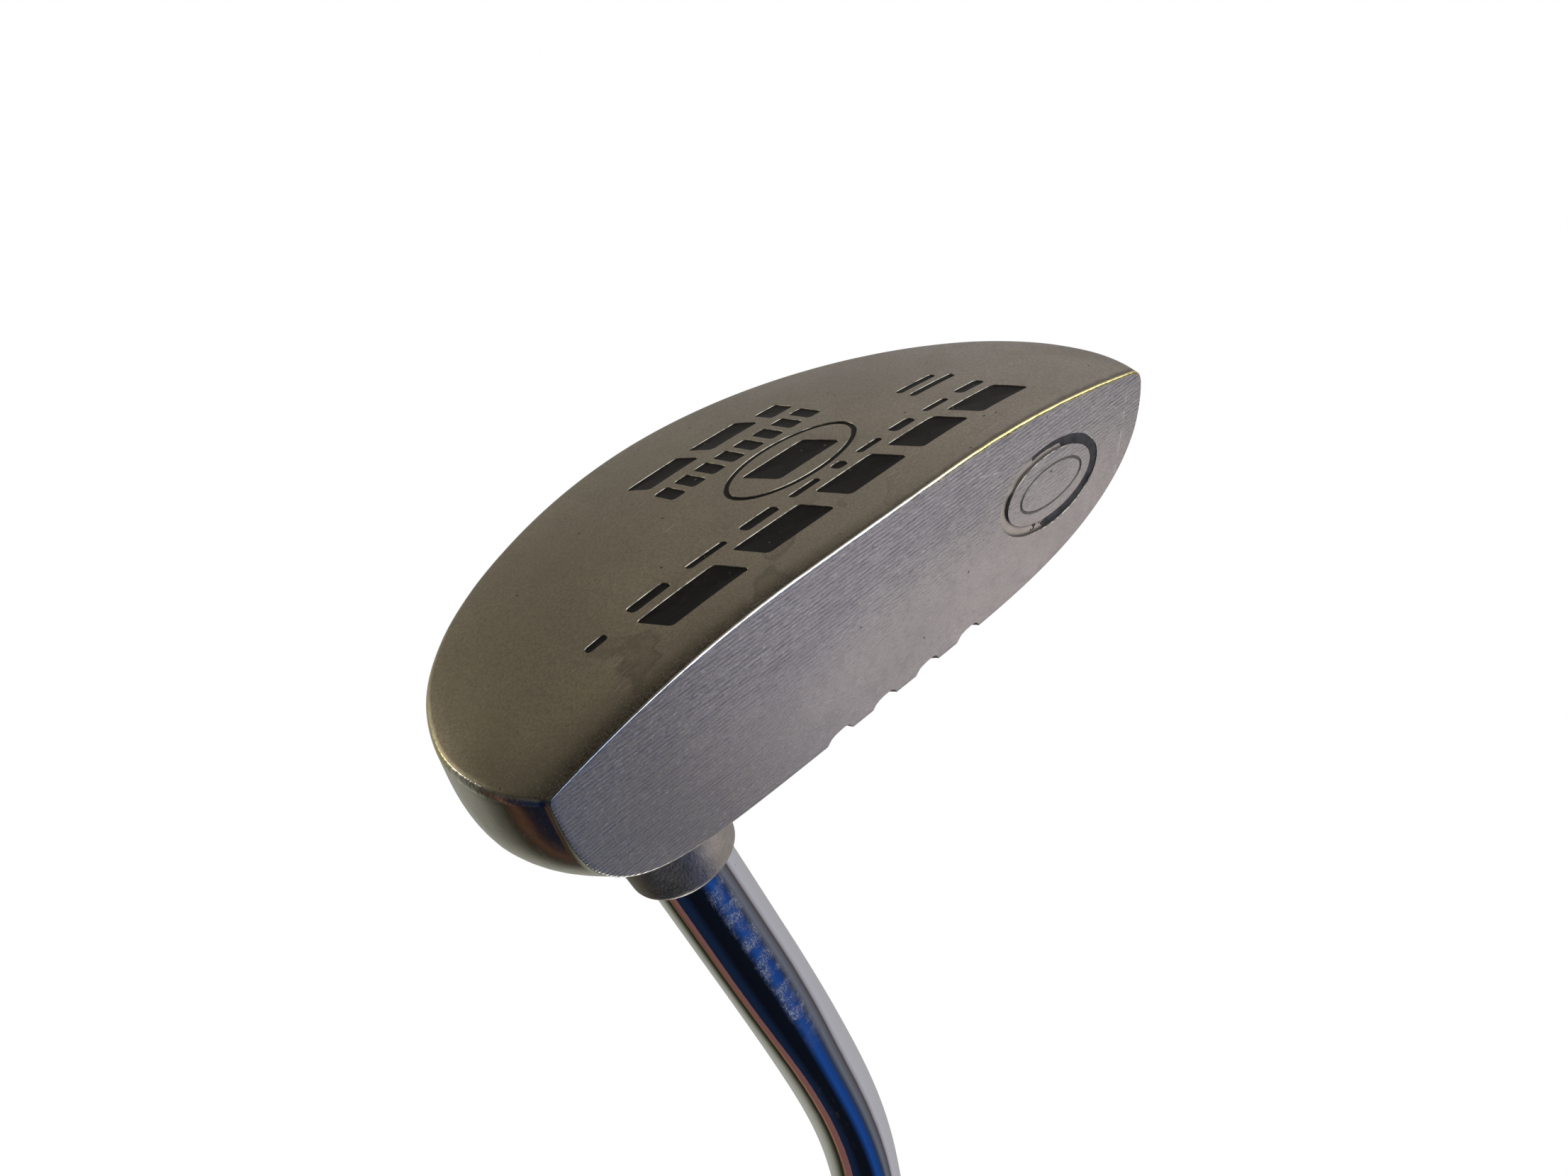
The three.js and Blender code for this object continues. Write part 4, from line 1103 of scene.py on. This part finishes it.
cutters = [bore_cutter()]
cutters += [groove_cutter(x) for x in GROOVE_X]
cutters += [mark_cutter(mark) for _, *mark in MARKS]
cutters += [ring_cutter(SOLE_RING, on_sole), ring_cutter(FACE_RING, on_face), line_cutter()]
# one object holds every cutter, so the head is cut once
for ob in bpy.context.selected_objects:
    ob.select_set(False)
with bpy.context.temp_override(active_object=cutters[0], selected_editable_objects=cutters,
                               selected_objects=cutters):
    bpy.ops.object.join()
boolean(head, cutters[0], "DIFFERENCE")
restore_normals(head.data)
head.data.update()
install(head, "head")

# ---------------------------------------------------------------- paint fills
FILL_GROW = -0.015                      # inset that sinks the fill's sides into the cut's walls
FILL_FLOOR = MARK_DEPTH - 0.02


def add_fill(name, skin, mat):
    ob = solid("fill_" + name, skin, [mat], angle=45)
    install(ob, "paint_" + name)
    return ob


def bar_fill(name, *mark):
    """A fill whose top sags a little between the walls of its cut."""
    shrink = min(1.0, min(mark[2:4]) / 1.2)         # narrow bars sag within a narrower margin
    rows = [(FILL_FLOOR, FILL_GROW), (0.075, FILL_GROW), (0.105, 0.10 * shrink),
            (0.125, 0.22 * shrink)]
    rings = [on_sole(bar_outline(*mark, inset), depth) for depth, inset in rows]
    return add_fill(name, loft(rings), PAINT)


def ring_fill(name, ring, place, mat, sink=0.0):
    """A fill of a ring's band; sink lowers its top, for the whole ring or at each point."""
    band = ring.band
    rows = [(0.075, FILL_GROW), (0.11, band * 0.22), (0.13, band * 0.5), (0.11, band * 0.78),
            (0.075, band - FILL_GROW)]
    rings = [place(oval_outline(*ring[:4], inset), depth + sink) for depth, inset in rows]
    floor_rings = [place(oval_outline(*ring[:4], inset), FILL_FLOOR)
                   for inset in (FILL_GROW, band - FILL_GROW)]
    return add_fill(name, loft([floor_rings[0]] + rings + [floor_rings[1]], closed=True), mat)


def face_wear():
    """How far the face's fill has worn down round its ring, most near the heel end."""
    t = 2 * math.pi * np.arange(160) / 160
    return 0.20 * ease(0.5 + 0.62 * np.cos(t - 0.45) + 0.22 * np.sin(5 * t + 1.0)
                       + 0.16 * np.sin(11 * t))


fills = [bar_fill(*mark) for mark in MARKS]
fills.append(ring_fill("sole_ring", SOLE_RING, on_sole, PAINT))
fills.append(ring_fill("face_ring", FACE_RING, on_face, PAINT_WORN, face_wear()))


# ---------------------------------------------------------------- shaft
def centre_line():
    """Points, directions and stations along the shaft."""
    point = RIM + TIP_DIR * STRAIGHT
    station, rise = INSERT + STRAIGHT, 0.5
    points = [RIM - TIP_DIR * INSERT, RIM, point]
    directions = [TIP_DIR] * 3
    stations = [0.0, INSERT, station]
    while station < LENGTH + 60:
        slope_x = curve(SLOPE_X, point[2] + rise / 2)
        slope_y = curve(SLOPE_Y, point[2] + rise / 2)
        point = point + np.array([slope_x * rise, slope_y * rise, rise])
        station += rise * math.sqrt(slope_x * slope_x + slope_y * slope_y + 1)
        direction = np.array([slope_x, slope_y, 1.0])
        points.append(point)
        directions.append(direction / np.linalg.norm(direction))
        stations.append(station)
    # a moving average over nine samples lets the direction change smoothly in the bends
    directions = np.array(directions)
    for c in range(3):
        padded = np.pad(directions[:, c], 4, mode="edge")
        directions[:, c] = np.convolve(padded, np.ones(9) / 9, "valid")
    directions /= np.linalg.norm(directions, axis=1)[:, None]
    return np.array(points), directions, np.array(stations)


LINE_POINTS, LINE_DIRECTIONS, LINE_STATIONS = centre_line()


def ring_at(s, shape, count):
    """Ring square to the centre line at a station; shape gives (u, v) at an angle."""
    point, along = (np.array([np.interp(s, LINE_STATIONS, line[:, c]) for c in range(3)])
                    for line in (LINE_POINTS, LINE_DIRECTIONS))
    along /= np.linalg.norm(along)
    v_axis = np.cross(along, [1.0, 0.0, 0.0])
    v_axis /= np.linalg.norm(v_axis)
    u_axis = np.cross(v_axis, along)
    ring = []
    for j in range(count):
        u, v = shape(2 * math.pi * j / count)
        ring.append(point + u_axis * u + v_axis * v)
    return ring


def disc(r):
    return lambda a: (r * math.cos(a), r * math.sin(a))


def scaled(shape, factor):
    return lambda a: tuple(c * factor for c in shape(a))


def shaft_skin():
    """Parallel tip through both bends, then small steps up to the butt; a tube."""
    foot_bevel = [(0.3, TIP_R - 0.08), (0.8, TIP_R)]
    outside = [(0.0, TIP_R - 0.3)] + foot_bevel + [(INSERT, TIP_R)]
    s = INSERT + 2
    while s < 160:
        outside.append((s, TIP_R))
        s += 1.6
    outside += [(200.0, TIP_R), (248.0, TIP_R)]
    growth = BUTT_R - TIP_R
    for i in range(1, STEP_COUNT + 1):
        s = STEP_FIRST + (STEP_LAST - STEP_FIRST) * i / STEP_COUNT
        r0 = TIP_R + growth * (i - 1) / STEP_COUNT
        r1 = TIP_R + growth * i / STEP_COUNT
        outside += [(s - 1.6, r0), (s - 1.2, r0 + (r1 - r0) * 0.12),
                    (s - 0.4, r0 + (r1 - r0) * 0.88), (s, r1)]
    outside += [(BUTT_S - 0.3, BUTT_R), (BUTT_S, BUTT_R - 0.2)]
    inside = []
    for row in outside:
        if row not in foot_bevel:
            share = min(max((row[0] - STEP_FIRST) / (STEP_LAST - STEP_FIRST), 0), 1)
            inside.append((row[0], (TIP_R - WALL) + growth * share))
    rows = outside + inside[::-1]
    return loft([ring_at(s, disc(r), SHAFT_SIDES) for s, r in rows], closed=True)


shaft = solid("shaft_tube", shaft_skin(), [CHROME], angle=50)
install(shaft, "shaft")


def bond_skin():
    """Sleeve between shaft and bore, its uneven upper end just below the rim."""
    outer_r, inner_r = 4.9, 4.755
    profile = [(outer_r, -BORE_DEPTH + 0.06), (outer_r, -0.62), (4.87, -0.60), (4.83, -0.70),
               (4.78, -0.63), (inner_r, -0.68), (inner_r, -INSERT - 0.04)]

    def sag(s, a):
        if s <= -1:
            return s
        return s + (0.05 * math.sin(3 * a + 1) + 0.04 * math.sin(7 * a)) - 0.05

    return turned(profile, sag)


install(solid("bond_ring", bond_skin(), [BONDING], angle=60), "bond_sleeve")


# ---------------------------------------------------------------- grip
def grip_shape(s, grow=0.0):
    """Section of the grip: round at the mouth, deeper and with a thumb flat higher up."""
    t = min(max((s - GRIP_S) / GRIP_LENGTH, 0), 1)
    share = t ** 0.85
    half_wide = GRIP_LOW_R + (GRIP_TOP_W - GRIP_LOW_R) * share
    half_deep = GRIP_LOW_R + (GRIP_TOP_D - GRIP_LOW_R) * share
    flat = 0.2 * min(t * 4, 1)
    stop = -half_deep * (1 - flat)
    corner = 0.9 * 0.9 * flat * 5        # softness of the flat's edges

    def shape(a):
        u, v = half_deep * math.cos(a), half_wide * math.sin(a)
        past = u - stop
        u = stop + (math.sqrt(past * past + corner) + past) / 2
        reach = math.hypot(u, v)
        factor = (reach + grow - 0.12 * t) / reach       # a hair inside the CAD's grip
        return (u * factor, v * factor)
    return shape


def grip_relief(s, a):
    """Moulded pattern, cut inwards: cross ribs on the thumb flat, rows of slots at the back."""
    low, high, fade = 0.035, 0.965, 0.01          # shares of the grip's length
    t = (s - GRIP_S) / GRIP_LENGTH
    if t < low or t > high:
        return 0.0
    rib_pitch, rib_share, rib_depth = 5.0, 0.4, 0.42
    slot_pitch, slot_share, slot_depth, slots_round = 4.2, 0.42, 0.38, 26
    side = math.cos(a)                            # -1 on the thumb flat
    depth = 0.0
    if side < -0.62:
        phase = (s % rib_pitch) / rib_pitch
        if phase < rib_share:
            depth = (rib_depth * min((-side - 0.62) / 0.05, 1)
                     * math.sin(math.pi * (phase / rib_share)))
    elif side > -0.45:
        row = int(s // slot_pitch)
        phase = (s % slot_pitch) / slot_pitch
        turn = (a / (2 * math.pi) * slots_round + 0.5 * (row % 2)) % 1.0
        if 0.15 < turn < 0.85 and phase < slot_share:
            depth = (slot_depth * min((side + 0.45) / 0.06, 1)
                     * math.sin(math.pi * phase / slot_share)
                     * min((turn - 0.15) / 0.1, (0.85 - turn) / 0.1, 1))
    return -depth * min((t - low) / fade, (high - t) / fade, 1)


def grip_skin():
    collars, collar_depth, collar_width = (4.5, 6.5), 0.35, 0.5
    rows = [(GRIP_S + up, scaled(grip_shape(GRIP_S + up), factor))
            for up, factor in ((0, 0.90), (0.15, 0.955), (0.6, 0.985), (1.3, 1.0))]
    end = GRIP_S + GRIP_LENGTH
    step = 0.84
    s = GRIP_S + 2.0
    while s < end - 0.4:
        def shape(a, s=s):
            grow = grip_relief(s, a)
            for collar in collars:
                grow -= collar_depth * math.exp(-((s - GRIP_S - collar) / collar_width) ** 2)
            return grip_shape(s, grow)(a)
        rows.append((s, shape))
        s += step
    over_tape, over_shaft = disc(BUTT_R + GRIP_TAPE + 0.05), disc(BUTT_R + 0.05)
    rows += [(end - 0.3, grip_shape(end - 0.3)), (end, grip_shape(end, -0.25)),
             (BUTT_S - 0.01, over_tape), (GRIP_S + 5, over_tape),
             (GRIP_S + 4.4, over_shaft), (GRIP_S, over_shaft)]
    return loft([ring_at(s, shape, GRIP_SIDES) for s, shape in rows], closed=True)


install(solid("grip_rubber_sleeve", grip_skin(), [RUBBER], angle=55), "grip")


def cap_skin():
    """Rounded disc with a vent hole, a shallow ring on top and a plug in the shaft."""
    section_shape = grip_shape(BUTT_S)
    top, plug_r, round_start = CAP_THICK, BUTT_R - WALL - 0.15, 1.6
    # height above the butt, shape
    rows = [(-7, disc(CAP_VENT)), (-7, disc(plug_r - 0.3)), (-6.7, disc(plug_r)),
            (0.03, disc(plug_r))]
    # height above the butt, share of the grip's section
    shares = [(0.03, 0.985), (0.3, 0.998), (round_start, 0.998)]
    for k in range(1, 7):
        a = (math.pi / 2) * k / 6
        shares.append((round_start + (top - 0.15 - round_start) * math.sin(a),
                       0.90 + 0.098 * math.cos(a)))
    shares += [(top - 0.10, 0.80), (top - 0.45, 0.77), (top - 0.45, 0.71), (top - 0.06, 0.68),
               (top - 0.01, 0.35)]
    rows += [(up, scaled(section_shape, share)) for up, share in shares]
    rows += [(top - 0.02, disc(CAP_VENT + 0.35)), (top - 0.3, disc(CAP_VENT))]
    return loft([ring_at(BUTT_S + up, shape, CAP_SIDES) for up, shape in rows], closed=True)


install(solid("grip_end_cap", cap_skin(), [CAP], angle=40), "grip_cap")

# CAD nodes that stay, both inside
for node, mat in (("tip_plug", PLUG), ("grip_tape", TAPE)):
    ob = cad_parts[node]
    if not ob.material_slots:
        ob.data.materials.append(mat)
    for slot in ob.material_slots:
        slot.material = mat


# ---------------------------------------------------------------- floor
def floor_pale(pos):
    """Pale from above, fading to white far out, and clear from below."""
    colour = pos.noise(scale=0.004, detail=3).mix((0.80, 0.80, 0.80), (0.84, 0.84, 0.835))
    x, y, _ = object_mm(pos.tree).xyz()
    far = (x * x + y * y).math("SQRT").span(start=900.0, end=4200.0)
    white = pos.new("ShaderNodeEmission", {0: (1.0, 1.0, 1.0)})
    top = far.mix_shader(colour.surface(rough=0.7), white)
    below = pos.new("ShaderNodeNewGeometry", out="Backfacing")
    return below.mix_shader(top, pos.new("ShaderNodeBsdfTransparent"))


def add_floor():
    size, height, parts = 60000, -0.02, 24
    row = parts + 1
    verts = [((i / parts - 0.5) * size, (j / parts - 0.5) * size, height)
             for j in range(row) for i in range(row)]
    faces = [(j * row + i, j * row + i + 1, (j + 1) * row + i + 1, (j + 1) * row + i)
             for j in range(parts) for i in range(parts)]
    floor = new_object("floor", verts, faces, [material(floor_pale)], smooth=False)
    floor.visible_diffuse = False
    floor.visible_glossy = False
    floor.visible_transmission = False
    floor.visible_shadow = False


add_floor()

# ---------------------------------------------------------------- world
# azimuth in degrees (-180 toe, -90 front, 0 heel, 90 back), colour round the horizon
HORIZON = [
    (-180, (0.45, 0.44, 0.47)), (-166, (0.47, 0.46, 0.50)), (-157, (0.32, 0.31, 0.34)),
    (-152, (0.075, 0.055, 0.055)), (-147, (0.10, 0.10, 0.12)), (-134, (0.15, 0.16, 0.19)),
    (-121, (0.03, 0.04, 0.07)), (-112, (0.013, 0.048, 0.20)), (-96, (0.012, 0.064, 0.27)),
    (-84, (0.007, 0.026, 0.11)), (-74, (0.004, 0.006, 0.012)), (-40, (0.004, 0.005, 0.009)),
    (-20, (0.008, 0.017, 0.042)), (0, (0.008, 0.015, 0.036)), (17, (0.007, 0.010, 0.018)),
    (20, (0.20, 0.094, 0.049)), (23.5, (0.17, 0.078, 0.041)), (26, (0.012, 0.012, 0.009)),
    (34, (0.030, 0.030, 0.020)), (44, (0.13, 0.13, 0.10)), (56, (0.27, 0.27, 0.225)),
    (78, (0.38, 0.38, 0.33)), (104, (0.36, 0.36, 0.325)), (135, (0.40, 0.39, 0.40)),
    (179.9, (0.45, 0.44, 0.47))]
# share of the way from toe to heel, colour below the horizon
UNDERNEATH = [
    (0.0, (0.46, 0.43, 0.40)), (0.14, (0.40, 0.37, 0.34)), (0.27, (0.27, 0.245, 0.215)),
    (0.40, (0.22, 0.195, 0.16)), (0.50, (0.12, 0.105, 0.08)), (0.62, (0.05, 0.043, 0.033)),
    (1.0, (0.04, 0.036, 0.03))]


def add_world():
    """White to the camera, even grey to diffuse rays, a dark studio to reflections."""
    world = bpy.data.worlds.new("studio")
    scene.world = world
    world.use_nodes = True
    world.cycles.sampling_method = "NONE"
    tree = world.node_tree
    tree.nodes.clear()
    coords = add_node(tree, "ShaderNodeTexCoord")
    generated = Value(tree, coords.outputs["Generated"])
    x, y, z = generated.vector("NORMALIZE").xyz()
    azimuth = y.math("ARCTAN2", x) * (180 / math.pi)
    horizon = ((azimuth + 180.0) / 360.0).ramp(
        [((deg + 180.0) / 360.0, colour) for deg, colour in HORIZON])
    low = z.span(start=-0.02, end=-0.30)
    under = x.span(start=-1.0, end=1.0, smooth=False).ramp(UNDERNEATH)
    direction = generated.vector("NORMALIZE")
    # a lamp low behind the heel, for the heel's rounded edge
    lamp = direction.vector("DOT_PRODUCT", (0.40, 0.83, -0.385)).span(start=0.962, end=0.988)
    under = under.coat(lamp, (2.6, 2.4, 1.9))
    # a window low in front, for the leading edge
    window = direction.vector("DOT_PRODUCT", (-0.447, -0.574, -0.686)).span(start=0.72,
                                                                             end=0.86)
    under = under.coat(window, (2.2, 2.2, 2.15))
    sky = low.mix(horizon, under)
    path = add_node(tree, "ShaderNodeLightPath")
    even = z.span(start=-0.4, end=0.6).mix((0.45, 0.45, 0.45), (0.86, 0.86, 0.87))
    sky = Value(tree, path.outputs["Is Diffuse Ray"]).mix(sky, even)
    sky = Value(tree, path.outputs["Is Camera Ray"]).mix(sky, (1.0, 1.0, 1.0))
    background = sky.new("ShaderNodeBackground", {0: sky, 1: 1.0})
    add_node(tree, "ShaderNodeOutputWorld", {"Surface": background})


add_world()


# ---------------------------------------------------------------- lights, in metres
def area(name, at, target, size, power, colour=(1, 1, 1), height=None):
    light = bpy.data.lights.new(name, "AREA")
    light.shape = "RECTANGLE" if height else "SQUARE"
    light.size = size
    if height:
        light.size_y = height
    light.energy = power
    light.color = colour
    ob = bpy.data.objects.new(name, light)
    scene.collection.objects.link(ob)
    ob.location = at
    ob.rotation_euler = (Vector(target) - Vector(at)).to_track_quat("-Z", "Y").to_euler()
    ob.visible_camera = False
    return ob


def light_only(light, name, receivers):
    group = bpy.data.collections.new(name)
    for ob in receivers:
        group.objects.link(ob)
    light.light_linking.receiver_collection = group


area("key_above", at=(0.1, 0.05, 2.9), target=(0.1, 0, 0.4), size=1.1, power=20)
panel = area("face_panel", at=(-0.50, -0.58, 0.60), target=(-0.005, 0.0, 0.010), size=0.62,
             power=0.80, colour=(1.0, 0.90, 0.85))
light_only(panel, "head_light_receivers", [head] + fills)
# a brown card on the heel side, mirrored as a narrow band along the shaft
card_direction = Vector((math.cos(8 * DEG) * 0.78, math.sin(8 * DEG) * 0.78, 0.63))
card_target = Vector((0.022, 0.004, 0.060))
card = area("brown_card", at=card_target + card_direction * 0.8, target=card_target, size=0.16,
            height=2.4, power=0.21, colour=(1.0, 0.42, 0.28))
light_only(card, "shaft_light_receivers", [shaft])


# ---------------------------------------------------------------- camera, looking up at the sole
def add_camera():
    data = bpy.data.cameras.new("camera")
    data.sensor_width = 36.0
    data.sensor_fit = "HORIZONTAL"
    data.lens = 28.4810127
    data.clip_start = 0.005
    data.clip_end = 50
    camera = bpy.data.objects.new("camera", data)
    scene.collection.objects.link(camera)
    right = (-0.73415, -0.64378, 0.2158)
    up = (-0.52276, 0.3331, -0.78471)
    back = (0.4333, -0.68891, -0.58108)
    place = (60.06 * MM, -75.97 * MM, -64.40 * MM)
    camera.matrix_world = Matrix((*zip(right, up, back, place), (0, 0, 0, 1)))
    scene.camera = camera


add_camera()
scene.view_settings.view_transform = "Standard"
scene.view_settings.look = "None"
scene.view_settings.exposure = 0.0
scene.view_settings.gamma = 1.0
